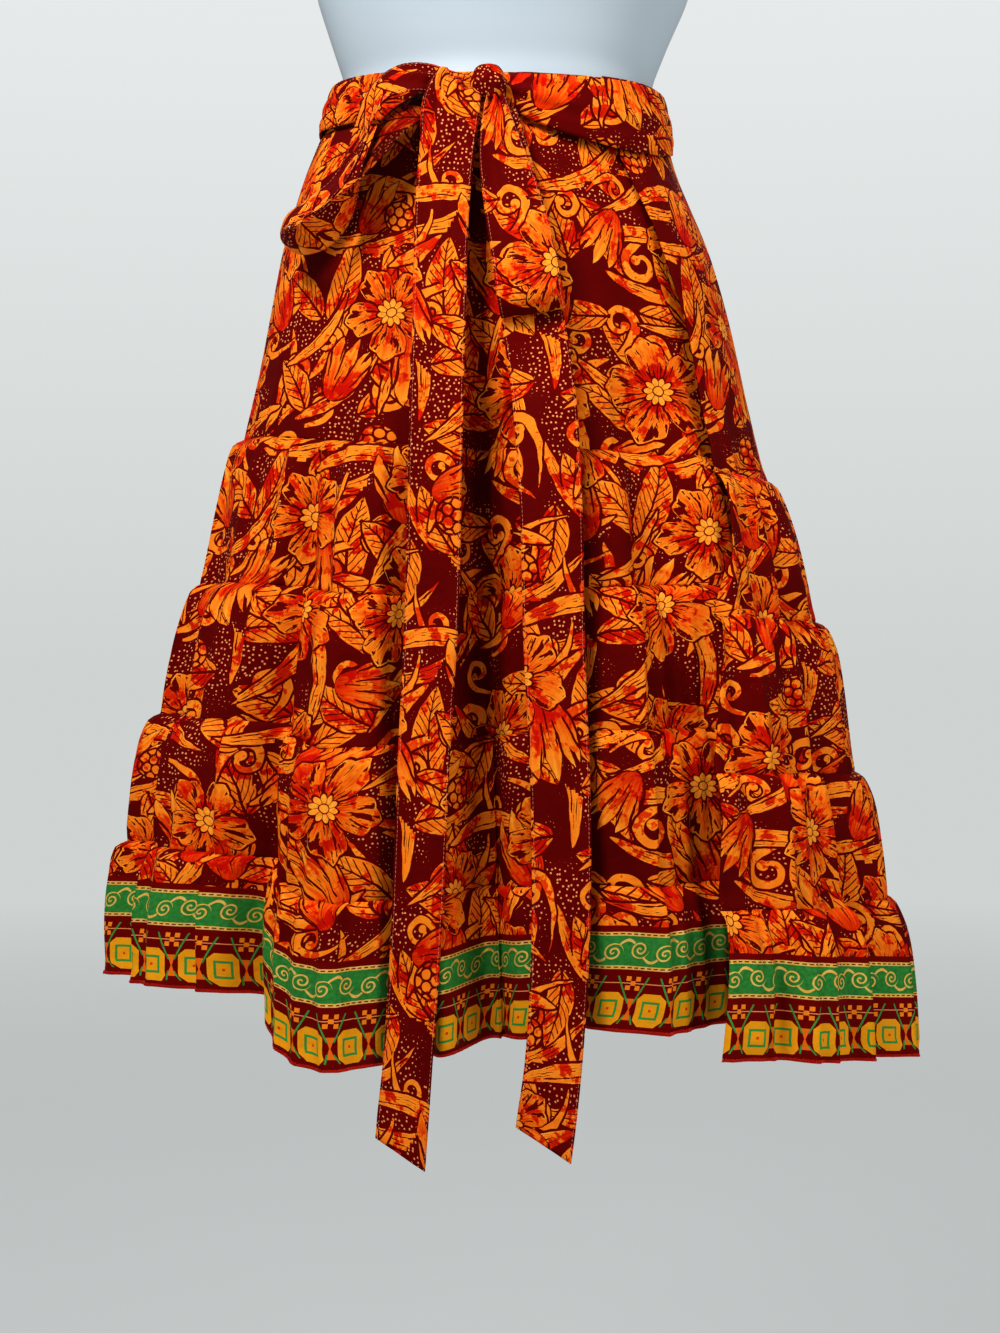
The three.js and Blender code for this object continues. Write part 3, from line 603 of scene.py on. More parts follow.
def borderInk(tree, cloth, fromHem, under):
    # the printed border above the hem: octagons with squares in them, then a green band with gilt scrolls
    node = partial(put, tree)
    b = borderSizes

    def paint(below, where, colour):
        # a colour of the print over what is already there
        return node("ShaderNodeMix", where, below, linear(printColours[colour]), data_type="RGBA")

    def between(value, low, high):
        return node("MULTIPLY", node("GREATER_THAN", value, low), node("LESS_THAN", value, high))

    u = node("ShaderNodeSeparateXYZ", cloth)[0]
    du = node("ABSOLUTE", node("WRAP", u, b["repeat"] / 2, -b["repeat"] / 2))
    edgeGap = node("SUBTRACT", b["repeat"] / 2, du)
    rise = node("SUBTRACT", fromHem, (b["blocksFrom"] + b["blocksTo"]) / 2)
    dh = node("ABSOLUTE", rise)
    colour = paint(under, node("LESS_THAN", fromHem, b["bandTo"] + b["margin"]), "ground")
    # octagons, each with a square ring and a dot
    halfWide, halfTall = b["octagonHalf"]
    octagon = node("MAXIMUM", node("DIVIDE", du, halfWide), node("DIVIDE", dh, halfTall))
    octagon = node("MAXIMUM", octagon, node("DIVIDE", node("ADD", du, dh), b["octagonCut"]))
    colour = paint(colour, node("LESS_THAN", octagon, 1.0), "octagon")
    square = node("MAXIMUM", node("MULTIPLY", du, b["squareTaller"]), dh)
    colour = paint(colour, between(square, b["squareFrom"], b["squareTo"]), "green")
    colour = paint(colour, node("LESS_THAN", square, b["dot"]), "redOrange")
    # an hourglass between two octagons
    glass = node("LESS_THAN", edgeGap, node("MULTIPLY_ADD", dh, b["flare"], b["waist"]))
    colour = paint(colour, node("MULTIPLY", glass, node("LESS_THAN", dh, b["glassHalf"])), "orange")
    # a check of small squares above it, on a fine rule
    checkH = node("SUBTRACT", fromHem, (b["blocksTo"] + b["checkTo"]) / 2)
    colour = paint(colour, node("COMPARE", checkH, 0.0, b["fineRule"]), "palePink")
    cellU = node("FLOOR", node("MULTIPLY_ADD", edgeGap, 1 / b["check"], 0.5))
    cellH = node("FLOOR", node("MULTIPLY_ADD", node("ABSOLUTE", checkH), 1 / b["check"], 0.5))
    odd = node("PINGPONG", node("ADD", cellU, cellH), 1.0)
    check = node("MULTIPLY", node("SUBTRACT", 1.0, odd), node("LESS_THAN", edgeGap, b["checkHalf"]))
    check = node("MULTIPLY", check, node("LESS_THAN", node("ABSOLUTE", checkH), b["checkHalf"]))
    colour = paint(colour, check, "yellowOrange")
    # green lines that cross at the hourglass and climb past the check
    slant = node("ABSOLUTE", node("SUBTRACT", node("MULTIPLY", dh, b["slope"]), edgeGap))
    lines = node("MULTIPLY", node("LESS_THAN", slant, b["lineHalf"]),
                 between(rise, -b["blocksFrom"] - b["linesBelow"], b["linesTo"]))
    colour = paint(colour, node("MULTIPLY", lines, node("GREATER_THAN", dh, b["crossingHalf"])), "green")
    # the green band, its scrolls and the dashed gilt rules on both sides
    band = between(fromHem, b["bandFrom"], b["bandTo"])
    mottle = node("ShaderNodeTexNoise", cloth, b["mottleScale"], 2.0, 0.5, noise_dimensions="2D")[0]
    green = node("ShaderNodeMix", mottle, linear(printColours["greenDark"]), linear(printColours["green"]),
                 data_type="RGBA")
    colour = node("ShaderNodeMix", band, colour, green, data_type="RGBA")
    s = b["scrollRepeat"]
    flip = node("MULTIPLY_ADD", node("PINGPONG", node("FLOOR", node("DIVIDE", u, s)), 1.0), -2.0, 1.0)
    x = node("SUBTRACT", node("MULTIPLY", node("FRACT", node("DIVIDE", u, s)), s), s / 2)
    y = node("MULTIPLY", node("SUBTRACT", fromHem, (b["bandFrom"] + b["bandTo"]) / 2), flip)
    centred = node("ADD", y, -b["coilUp"])
    r = node("SQRT", node("ADD", node("MULTIPLY", x, x), node("MULTIPLY", centred, centred)))
    wound = node("FRACT", node("MULTIPLY", node("ARCTAN2", centred, x), 1 / (2 * math.pi)))
    coil = node("WRAP", node("MULTIPLY_ADD", wound, -b["coil"], r), b["coil"] / 2, -b["coil"] / 2)
    coil = node("LESS_THAN", node("ABSOLUTE", coil), b["coilHalf"])
    coil = node("MULTIPLY", coil, node("LESS_THAN", r, b["coilReach"]))
    wave = node("MULTIPLY", node("SINE", node("MULTIPLY", x, math.pi / s)), b["trailHigh"])
    trail = node("LESS_THAN", node("ABSOLUTE", node("ADD", y, wave)), b["trailHalf"])
    trail = node("MULTIPLY", trail, node("GREATER_THAN", r, b["trailFrom"]))
    gilt = node("MULTIPLY", node("MAXIMUM", coil, trail), band)
    dash = node("LESS_THAN", node("FRACT", node("DIVIDE", u, b["dashes"])), b["dashShare"])
    for edge, side in ((b["bandFrom"], -1), (b["bandTo"], 1)):
        middleRule = edge + side * b["rule"] / 2
        rule = node("COMPARE", fromHem, middleRule, b["rule"] / 2)
        holes = node("MULTIPLY", node("COMPARE", fromHem, middleRule, b["rule"] / 6), dash)
        gilt = node("MAXIMUM", gilt, node("SUBTRACT", rule, holes, use_clamp=True))
    # the gilt's gold, mottled with pale painted glints
    giltPaintedGlint = node("ShaderNodeMix", mottle, linear(printColours["octagon"]), linear(printColours["giltPaintedGlint"]),
                 data_type="RGBA")
    colour = node("ShaderNodeMix", gilt, colour, giltPaintedGlint, data_type="RGBA")
    colour = paint(colour, node("LESS_THAN", fromHem, b["overlock"]), "overlock")
    return colour, gilt


# wrongSide is the colour the wrong side is multiplied by: its duller print, and painted shade
cottonLook = {
    "threadScale": 1.4, "puckerScale": 0.09, "threadShare": 0.1, "bump": 0.35, "bumpDeep": 3 * mm,
    "roughFrom": 0.7, "roughTo": 0.82, "giltRough": 0.32, "giltMetal": 0.4,
    "sheen": 0.12, "sheenTint": "ff9a70", "wrongSide": "b58a80",
}


def printedCotton(name, withBorder=False):
    # light printed cotton with a slight calendered sheen: matt dyes, a fine plain weave and small puckers
    material = bpy.data.materials.new(name)
    material.use_nodes = True
    tree = material.node_tree
    tree.nodes.clear()
    node = partial(put, tree)
    look = cottonLook
    cloth = node("ShaderNodeAttribute", attribute_name="clothMm", attribute_type="GEOMETRY")[1]
    (ink, tone), mottle = floralInk(tree, cloth)
    ramp = tree.nodes.new("ShaderNodeValToRGB")
    ramp.color_ramp.elements.remove(ramp.color_ramp.elements[1])
    ramp.color_ramp.elements[0].color = linear(printColours[inkRamp[0][1]])
    for at, colourName in inkRamp[1:]:
        ramp.color_ramp.elements.new(at).color = linear(printColours[colourName])
    tree.links.new(tone, ramp.inputs[0])
    ground = node("ShaderNodeMix", mottle, linear(printColours["groundDark"]),
                  linear(printColours["ground"]), data_type="RGBA")
    colour = node("ShaderNodeMix", ink, ground, ramp.outputs[0], data_type="RGBA")
    gilt = None
    if withBorder:
        fromHem = node("ShaderNodeAttribute", attribute_name="fromHem", attribute_type="GEOMETRY")[2]
        colour, gilt = borderInk(tree, cloth, fromHem, colour)
    # the wrong side of the cloth shows the print duller, and it is darkened with painted shade as well
    wrongSide = node("ShaderNodeAttribute", attribute_name="wrongSide", attribute_type="GEOMETRY")[2]
    dullAndShaded = node("ShaderNodeMix", 1.0, colour, linear(look["wrongSide"]), data_type="RGBA",
                blend_type="MULTIPLY")
    colour = node("ShaderNodeMix", wrongSide, colour, dullAndShaded, data_type="RGBA")
    threads = node("ShaderNodeTexNoise", cloth, look["threadScale"], 2.0, 0.6, noise_dimensions="2D")[0]
    puckers = node("ShaderNodeTexNoise", cloth, look["puckerScale"], 3.0, 0.55, noise_dimensions="2D")[0]
    bumpNode = tree.nodes.new("ShaderNodeBump")
    bumpNode.inputs["Strength"].default_value = look["bump"]
    bumpNode.inputs["Distance"].default_value = look["bumpDeep"]
    tree.links.new(node("MULTIPLY_ADD", threads, look["threadShare"], puckers), bumpNode.inputs["Height"])
    shader = tree.nodes.new("ShaderNodeBsdfPrincipled")
    tree.links.new(colour, shader.inputs["Base Color"])
    tree.links.new(bumpNode.outputs[0], shader.inputs["Normal"])
    roughness = node("ShaderNodeMapRange", threads, 0.3, 0.7, look["roughFrom"], look["roughTo"])
    if gilt is not None:
        roughness = node("ShaderNodeMix", gilt, roughness, look["giltRough"], data_type="FLOAT")
        tree.links.new(node("MULTIPLY", gilt, look["giltMetal"]), shader.inputs["Metallic"])
    tree.links.new(roughness, shader.inputs["Roughness"])
    shader.inputs["Specular IOR Level"].default_value = look["sheen"]
    shader.inputs["Specular Tint"].default_value = linear(look["sheenTint"])
    out = tree.nodes.new("ShaderNodeOutputMaterial")
    tree.links.new(shader.outputs[0], out.inputs[0])
    return material


floralCotton = printedCotton("printed_cotton_floral")
borderCotton = printedCotton("printed_cotton_border", withBorder=True)
print("cloth materials made,", len(floralCotton.node_tree.nodes), "nodes")


# stitches
threadLook = {"dyeScale": 190.0, "roughness": 0.7, "sheen": 0.2}  # about 190 patches of dye to the metre


def spunThread(name, dark, pale):
    # spun polyester thread: matt, a little uneven in its dye
    material = bpy.data.materials.new(name)
    material.use_nodes = True
    tree = material.node_tree
    shader = tree.nodes["Principled BSDF"]
    where = put(tree, "ShaderNodeTexCoord")[3]
    uneven = put(tree, "ShaderNodeTexNoise", where, threadLook["dyeScale"], 2.0, 0.5)[0]
    colour = put(tree, "ShaderNodeMix", uneven, linear(dark), linear(pale), data_type="RGBA")
    tree.links.new(colour, shader.inputs["Base Color"])
    shader.inputs["Roughness"].default_value = threadLook["roughness"]
    shader.inputs["Specular IOR Level"].default_value = threadLook["sheen"]
    return material


stitchRing = {"sides": 10, "threadSides": 5, "seed": 7}


def stitchTree():
    # threads laid along a line: each is an oval ring of thread, turned to the line and to the cloth
    tree = bpy.data.node_groups.new("stitches", "GeometryNodeTree")
    tree.interface.new_socket(name="Geometry", in_out="INPUT", socket_type="NodeSocketGeometry")
    for name in ("Spacing", "Long", "Deep", "Thread", "Slant", "Uneven"):
        tree.interface.new_socket(name=name, in_out="INPUT", socket_type="NodeSocketFloat")
    tree.interface.new_socket(name="Material", in_out="INPUT", socket_type="NodeSocketMaterial")
    tree.interface.new_socket(name="Geometry", in_out="OUTPUT", socket_type="NodeSocketGeometry")
    given = tree.nodes.new("NodeGroupInput").outputs
    line = put(tree, "GeometryNodeMeshToCurve", given["Geometry"])
    line = put(tree, "GeometryNodeResampleCurve", line, None, given["Spacing"], mode="LENGTH")
    ring = put(tree, "GeometryNodeCurvePrimitiveCircle", stitchRing["sides"], 1.0, mode="RADIUS")
    ring = put(tree, "GeometryNodeTransform", ring, None, (math.pi / 2, 0.0, 0.0), None)
    ring = put(tree, "GeometryNodeTransform", ring, None, None,
               put(tree, "ShaderNodeCombineXYZ", given["Long"], 1.0, given["Deep"]))
    profile = put(tree, "GeometryNodeCurvePrimitiveCircle", stitchRing["threadSides"], given["Thread"],
                  mode="RADIUS")
    thread = put(tree, "GeometryNodeCurveToMesh", ring, profile)
    facing = put(tree, "GeometryNodeInputNamedAttribute", "facing", data_type="FLOAT_VECTOR")[0]
    turned = put(tree, "FunctionNodeAxesToRotation", facing, put(tree, "GeometryNodeInputTangent"),
                 primary_axis="Z", secondary_axis="X")
    laid = put(tree, "GeometryNodeInstanceOnPoints", line, None, thread, None, None, turned)
    jitter = put(tree, "FunctionNodeRandomValue", -1.0, 1.0, None, stitchRing["seed"], data_type="FLOAT")
    lean = put(tree, "ShaderNodeCombineXYZ", 0.0, 0.0,
               put(tree, "MULTIPLY_ADD", jitter, given["Uneven"], given["Slant"]))
    laid = put(tree, "GeometryNodeRotateInstances", laid, None, lean)
    laid = put(tree, "GeometryNodeRealizeInstances", laid)
    laid = put(tree, "GeometryNodeSetMaterial", laid, None, given["Material"])
    tree.links.new(laid, tree.nodes.new("NodeGroupOutput").inputs["Geometry"])
    return tree


stitching = stitchTree()


def sewLines(name, lines, facings, look, material):
    # stitches along lines given in mm, as one realized mesh
    points = np.concatenate(lines) * mm
    edges = []
    start = 0
    for line in lines:
        edges += [(start + i, start + i + 1) for i in range(len(line) - 1)]
        start += len(line)
    mesh = bpy.data.meshes.new(name + "_line")
    mesh.from_pydata(points.tolist(), edges, [])
    facing = mesh.attributes.new("facing", "FLOAT_VECTOR", "POINT")
    facing.data.foreach_set("vector", np.concatenate(facings).astype(np.float32).ravel())
    holder = bpy.data.objects.new(name + "_line", mesh)
    bpy.context.scene.collection.objects.link(holder)
    modifier = holder.modifiers.new("stitches", "NODES")
    modifier.node_group = stitching
    sockets = {i.name: i.identifier for i in stitching.interface.items_tree if i.in_out == "INPUT"}
    for key, value in look.items():
        modifier[sockets[key]] = value
    modifier[sockets["Material"]] = material
    bpy.context.view_layer.update()
    made = bpy.data.meshes.new_from_object(holder.evaluated_get(bpy.context.evaluated_depsgraph_get()))
    bpy.data.objects.remove(holder)
    made.name = name
    made.polygons.foreach_set("use_smooth", np.ones(len(made.polygons), dtype=bool))
    sewn = bpy.data.objects.new(name, made)
    bpy.context.scene.collection.objects.link(sewn)
    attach(sewn, "root")
    print(name, len(made.polygons) * 2, "triangles")
    return sewn


edgeStitch = {"Spacing": 2.9 * mm, "Long": 0.85 * mm, "Deep": 0.2 * mm, "Thread": 0.13 * mm, "Slant": 0.0,
              "Uneven": 0.06}
overlockStitch = {"Spacing": 1.6 * mm, "Long": 1.25 * mm, "Deep": 0.6 * mm, "Thread": 0.27 * mm, "Slant": 1.0,
                  "Uneven": 0.3}
paleThread = spunThread("pale_thread", "d98a66", "e8a684")
redThread = spunThread("red_thread", "a8100a", "e0341c")


# cloth pieces
def gridNormals(points):
    # which way is out of the cloth at each place of a grid
    along = np.gradient(points, axis=1)
    down = np.gradient(points, axis=0)
    normal = np.cross(down, along)
    return normal / np.maximum(np.linalg.norm(normal, axis=-1, keepdims=True), 1e-9)


def clothPiece(name, points, clothMm, thickness, material, fromHem=None):
    # a thin closed shell under a grid of outside points, with the print's coordinates on it
    rows, columns = points.shape[:2]
    inner = points - gridNormals(points) * thickness
    verts = np.concatenate((points.reshape(-1, 3), inner.reshape(-1, 3))) * mm
    index = np.arange(rows * columns).reshape(rows, columns)
    back = index + rows * columns

    def quads(a, b, c, d):
        return np.stack((a, b, c, d), -1).reshape(-1, 4)

    faces = [
        quads(index[:-1, :-1], index[1:, :-1], index[1:, 1:], index[:-1, 1:]),
        quads(back[:-1, :-1], back[:-1, 1:], back[1:, 1:], back[1:, :-1]),
        quads(index[:-1, 0], back[:-1, 0], back[1:, 0], index[1:, 0]),
        quads(index[:-1, -1], index[1:, -1], back[1:, -1], back[:-1, -1]),
        quads(index[0, :-1], index[0, 1:], back[0, 1:], back[0, :-1]),
        quads(index[-1, :-1], back[-1, :-1], back[-1, 1:], index[-1, 1:]),
    ]
    faceArray = np.concatenate(faces)
    mesh = bpy.data.meshes.new(name)
    mesh.vertices.add(len(verts))
    mesh.vertices.foreach_set("co", verts.astype(np.float32).ravel())
    mesh.loops.add(faceArray.size)
    mesh.loops.foreach_set("vertex_index", faceArray.ravel().astype(np.int32))
    mesh.polygons.add(len(faceArray))
    mesh.polygons.foreach_set("loop_start", np.arange(0, faceArray.size, 4, dtype=np.int32))
    mesh.polygons.foreach_set("loop_total", np.full(len(faceArray), 4, dtype=np.int32))
    mesh.polygons.foreach_set("use_smooth", np.ones(len(faceArray), dtype=bool))
    mesh.update(calc_edges=True)
    both = np.concatenate((clothMm.reshape(-1, 2), clothMm.reshape(-1, 2)))
    third = np.zeros((len(both), 1))
    place = mesh.attributes.new("clothMm", "FLOAT_VECTOR", "POINT")
    place.data.foreach_set("vector", np.concatenate((both, third), 1).astype(np.float32).ravel())
    side = mesh.attributes.new("wrongSide", "FLOAT", "POINT")
    side.data.foreach_set("value", np.repeat((0.0, 1.0), rows * columns).astype(np.float32))
    if fromHem is not None:
        hemPlace = mesh.attributes.new("fromHem", "FLOAT", "POINT")
        hemPlace.data.foreach_set("value", np.tile(fromHem.ravel(), 2).astype(np.float32))
    writePrint(mesh, both)
    layOutFlat(mesh, both, faceArray)
    mesh.materials.append(material)
    piece = bpy.data.objects.new(name, mesh)
    bpy.context.scene.collection.objects.link(piece)
    return piece


def layOutFlat(mesh, both, faceArray):
    # the cut as a UV map: the right side below the wrong side, with a margin round each
    margin = 0.01
    low, high = both.min(0), both.max(0)
    flat = (both - low) / np.maximum(high - low, 1e-6)
    flat[:, 1] = flat[:, 1] * (0.5 - 2 * margin) + np.repeat((margin, 0.5 + margin), len(both) // 2)
    flat[:, 0] = flat[:, 0] * (1 - 2 * margin) + margin
    layer = mesh.uv_layers.new(name="cut")
    layer.data.foreach_set("uv", flat[faceArray.ravel()].astype(np.float32).ravel())


# gathers under each seam, soft waves between the seams, and tucks above the next seam, in mm
gatherShape = {
    "fine": 7.5, "fineLean": 0.08, "fineReach": 22, "fineStart": 2.5,
    "soft": 20, "softLean": 0.12, "softFrom": 2, "softFull": 25, "softEnds": 14,
    "tucks": 10, "tuckReach": 12, "tuckStart": 2, "tuckShare": 0.5, "tuckedIn": 2.5,
}
probes = 1200  # places round the strip where its length is measured
slack = 1.1  # rows are spaced for cloth that bows out a little


def wrapStrip(piece):
    # one strip of the wrap between two level lines, gathered where it is sewn to the strip above
    s, g = skirtSizes, gatherShape
    topLine, bottomLine = levelCurves[piece["from"]], levelCurves[piece["to"]]
    halfway = (topLine[1].mean() + bottomLine[1].mean()) / 2
    probe = laidTurns(plainTurns(np.linspace(0, 1, probes)), halfway)
    tops = np.interp(probe, *topLine)
    bottoms = np.interp(probe, *bottomLine)
    middle = clothPoint(probe, (tops + bottoms) / 2, 0)
    walked = np.concatenate(([0], np.cumsum(np.linalg.norm(np.diff(middle, axis=0), axis=1))))
    columns = int(walked[-1] / s["spacing"])
    rows = max(3, int((bottoms - tops).mean() * slack / s["spacing"]))
    shares = np.interp(np.linspace(0, walked[-1], columns), walked, np.linspace(0, 1, len(probe)))
    along = np.linspace(0, walked[-1], columns)[None, :]
    share = np.linspace(0, 1, rows)[:, None]
    lapped = piece["from"] != "waist"
    gap = -s["seamLap"] if lapped else 0.0
    plain = plainTurns(shares[None, :])
    # the level lines and the free edge both slant, so the place is found in two rounds
    turn = np.broadcast_to(plain, (rows, columns))
    for _ in range(2):
        top = np.interp(turn, *topLine) + gap
        bottom = np.interp(turn, *bottomLine)
        down = top + (bottom - top) * share
        turn = laidTurns(plain, down)
    below = (bottom - top) * share
    above = (bottom - top) * (1 - share)
    seed = sum(map(ord, piece["name"]))  # each strip has gathers of its own
    fine = ripple(along + below * g["fineLean"], g["fine"], seed)
    fine = fine * np.exp(-below / g["fineReach"]) * (1 - np.exp(-below / g["fineStart"]))
    soft = ripple(along + below * g["softLean"], g["soft"], seed + 1)
    soft = soft * smoothStep(below, g["softFrom"], g["softFull"]) * smoothStep(above, 0, g["softEnds"])
    tucks = ripple(along, g["tucks"], seed + 2)
    tucks = tucks * np.exp(-above / g["tuckReach"]) * (1 - np.exp(-above / g["tuckStart"]))
    extra = piece["gather"] * (fine + g["tuckShare"] * tucks) + piece["wave"] * soft
    extra = extra + hangingFolds(turn, down)
    extra = extra + piece["puff"] * np.sin(math.pi * np.sqrt(share))
    if lapped:
        extra = extra - s["lapBehind"] * (1 - smoothStep(below, s["seamLap"], g["tuckedIn"] * s["seamLap"]))
    points = clothPoint(turn, down, extra)
    # the print lies along each row's own length, drawn to the length that the strip was cut
    slant = np.linalg.norm(np.diff(points, axis=0), axis=-1).mean() * (rows - 1) / (bottom - top).mean()
    rowSteps = np.linalg.norm(np.diff(points, axis=1), axis=-1)
    rowWalk = np.concatenate((np.zeros((rows, 1)), np.cumsum(rowSteps, axis=1)), axis=1)
    rowWalk = rowWalk * walked[-1] / rowWalk[:, -1:]
    clothMm = np.stack((rowWalk + piece["offset"][0], below * slant + piece["offset"][1]), -1)
    length = (walked[-1] * mm, (bottom - top).max() * slant * mm)
    return points, clothMm, above * slant, length


hemRaised = 1.2  # the overlock's thread sits just above the cut edge
for tier in tiers:
    points, clothMm, fromHem, flat = wrapStrip(tier)
    last = tier["name"] == "tier_5"
    piece = clothPiece("cloth_" + tier["name"], points, clothMm, skirtSizes["clothWall"],
                       borderCotton if last else floralCotton, fromHem if last else None)
    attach(piece, "root")
    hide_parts(tier["name"])
    if last:
        hemLine = points[-1] + np.array((0, 0, hemRaised))
        outward = gridNormals(points)[-1]
        sewLines("hem_overlock", [hemLine], [outward], overlockStitch, redThread)
    print(tier["name"], "flat", [round(f, 3) for f in flat], len(piece.data.polygons) * 2, "triangles")

band = {"name": "waistband", "from": "waist", "to": "band", "puff": 0, "gather": 0, "wave": 0,
        "offset": (60, 250)}
points, clothMm, _, flat = wrapStrip(band)
bandPiece = clothPiece("cloth_waistband", points, clothMm, skirtSizes["bandWall"], floralCotton)
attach(bandPiece, "root")
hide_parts("waistband")


# the tie and the bow
# round from one end behind the knot to the other, in degrees, and its cloth in mm
tie = {
    "from": 362, "to": 697, "columns": 330, "rows": 16, "topEdge": 2, "height": 33, "standOff": 0.6,
    "over": 0.9, "crown": 1.0, "girth": 105, "fan": 20.0, "fanAt": 412.0, "fanHalf": 60.0, "fanLift": 4.0,
    "pinch": 10.0, "pinchOver": 9, "unevenEdge": 2.5, "unevenOver": 34, "edgeEase": 1.1, "easeFrom": 0.7,
    "offset": (30, 190),
}
tieCreases = {
    "broad": 0.9, "broadOver": 26, "broadLean": 14, "fine": 0.4, "fineOver": 14, "fineLean": 30,
    "pleats": 3.6, "pleatCount": 2.6, "pleatAt": 0.3, "pleatReach": 120,
    "puckers": 2.4, "puckerOver": 6.5, "puckersAcross": 33, "puckerLean": 0.12, "puckerReach": 70,
}
ribbonNames = ("side", "out", "down", "width", "roll")
ribbons = {
    "tail_left": [dict(zip(ribbonNames, r)) for r in (
        (-26, 112, 23, 27, 0), (-29, 121, 28, 33, 0), (-32, 126, 40, 38, 0), (-35, 130, 70, 37, 0),
        (-38, 139, 110, 36, 0), (-40, 154, 190, 35, 4), (-42, 170, 280, 35, 6), (-44, 176, 380, 35, 8),
        (-49, 183, 480, 34, 10), (-53, 189, 580, 33, 10), (-58, 190, 660, 32, 8), (-64, 190, 733, 32, 6))],
    "tail_right": [dict(zip(ribbonNames, r)) for r in (
        (-3, 107, 46, 30, 0), (4, 121, 80, 34, 0), (13, 130, 130, 38, 0), (21, 143, 185, 41, 0),
        (29, 161, 245, 42, 2), (33, 173, 310, 41, 4), (35, 178, 400, 40, 4), (39, 181, 500, 39, 6),
        (39, 184, 600, 38, 6), (34, 186, 680, 37, 8), (28, 187, 728, 36, 8))],
    "loop_left": [dict(zip(ribbonNames, r)) for r in (
        (-20, 106, 28, 20, -20), (-36, 111, 25, 22, -22), (-50, 118, 23, 24, -25), (-66, 122, 25, 25, -30),
        (-81, 120, 33, 26, -46), (-91, 116, 50, 28, -62), (-98, 112, 72, 30, -64), (-111, 107, 92, 30, -62),
        (-129, 103, 106, 29, -58), (-143, 102, 115, 28, -65), (-148, 107, 126, 28, -80),
        (-137, 114, 132, 28, -60), (-121, 119, 127, 27, -42), (-106, 122, 113, 26, -58),
        (-94, 124, 96, 26, -95), (-82, 124, 75, 26, -122), (-70, 122, 55, 26, -138),
        (-54, 117, 42, 22, -145), (-38, 110, 35, 18, -145), (-26, 104, 32, 16, -140))],
    "loop_right": [dict(zip(ribbonNames, r)) for r in (
        (-3, 118, 36, 12, 0), (-2, 126, 52, 20, 0), (1, 134, 76, 30, 0), (8, 143, 110, 38, 0),
        (15, 152, 145, 42, 0), (19, 158, 172, 43, 0))],
}
bowSizes = {"wall": 0.8, "tailSlant": 20.0, "slantFrom": 0.9, "loopFullness": 12.0, "loopAside": 3.0,
            "loopStart": 0.3, "backHangs": 13.0, "bendRows": 11, "spacing": 2.0, "stitchIn": 1.4}
# how deep each ribbon's creases and pleats are, the seed they are drawn with, and where it was cut
ribbonLooks = {
    "tail_left": {"seed": 63, "creases": 2.0, "pleats": 1.6, "offset": (140, 30), "held": "hung"},
    "tail_right": {"seed": 70, "creases": 2.0, "pleats": 1.6, "offset": (120, 75), "held": "hung"},
    "loop_left": {"seed": 45, "creases": 1.2, "pleats": 0.9, "offset": (20, 140), "held": "folded"},
    "loop_right": {"seed": 50, "creases": 1.4, "pleats": 2.2, "offset": (260, 90), "held": "folded"},
}
creaseShape = {
    "long": 36, "lean": 24, "wide": 55, "wideShare": 0.8, "wideAt": 0.6,
    "fine": 7, "fineShare": 0.3, "fineAlong": 0.3, "fineAcross": 40,
    "pleatCount": 2.3, "pleatAt": 0.8, "pleatUneven": 0.5, "unevenAcross": 60, "unevenOver": 6,
    "pleatFade": 70.0,
}


def throughRows(rows, share):
    # a smooth curve through the rows of a ribbon's table, as centre, width and roll
    table = np.array([[r["side"], -r["out"], waistZ - r["down"], r["width"], r["roll"]] for r in rows], float)
    gaps = np.linalg.norm(np.diff(table[:, :3], axis=0), axis=1)
    at = np.concatenate(([0], np.cumsum(gaps))) / gaps.sum()
    slopes = np.gradient(table, at, axis=0)
    i = np.clip(np.searchsorted(at, share, "right") - 1, 0, len(at) - 2)
    span = (at[i + 1] - at[i])[:, None]
    t = ((share - at[i]) / (at[i + 1] - at[i]))[:, None]
    fromPlace, fromSlope = 2 * t ** 3 - 3 * t ** 2 + 1, t ** 3 - 2 * t ** 2 + t
    toPlace, toSlope = -2 * t ** 3 + 3 * t ** 2, t ** 3 - t ** 2
    curve = (fromPlace * table[i] + fromSlope * span * slopes[i]
             + toPlace * table[i + 1] + toSlope * span * slopes[i + 1])
    return curve, gaps.sum()


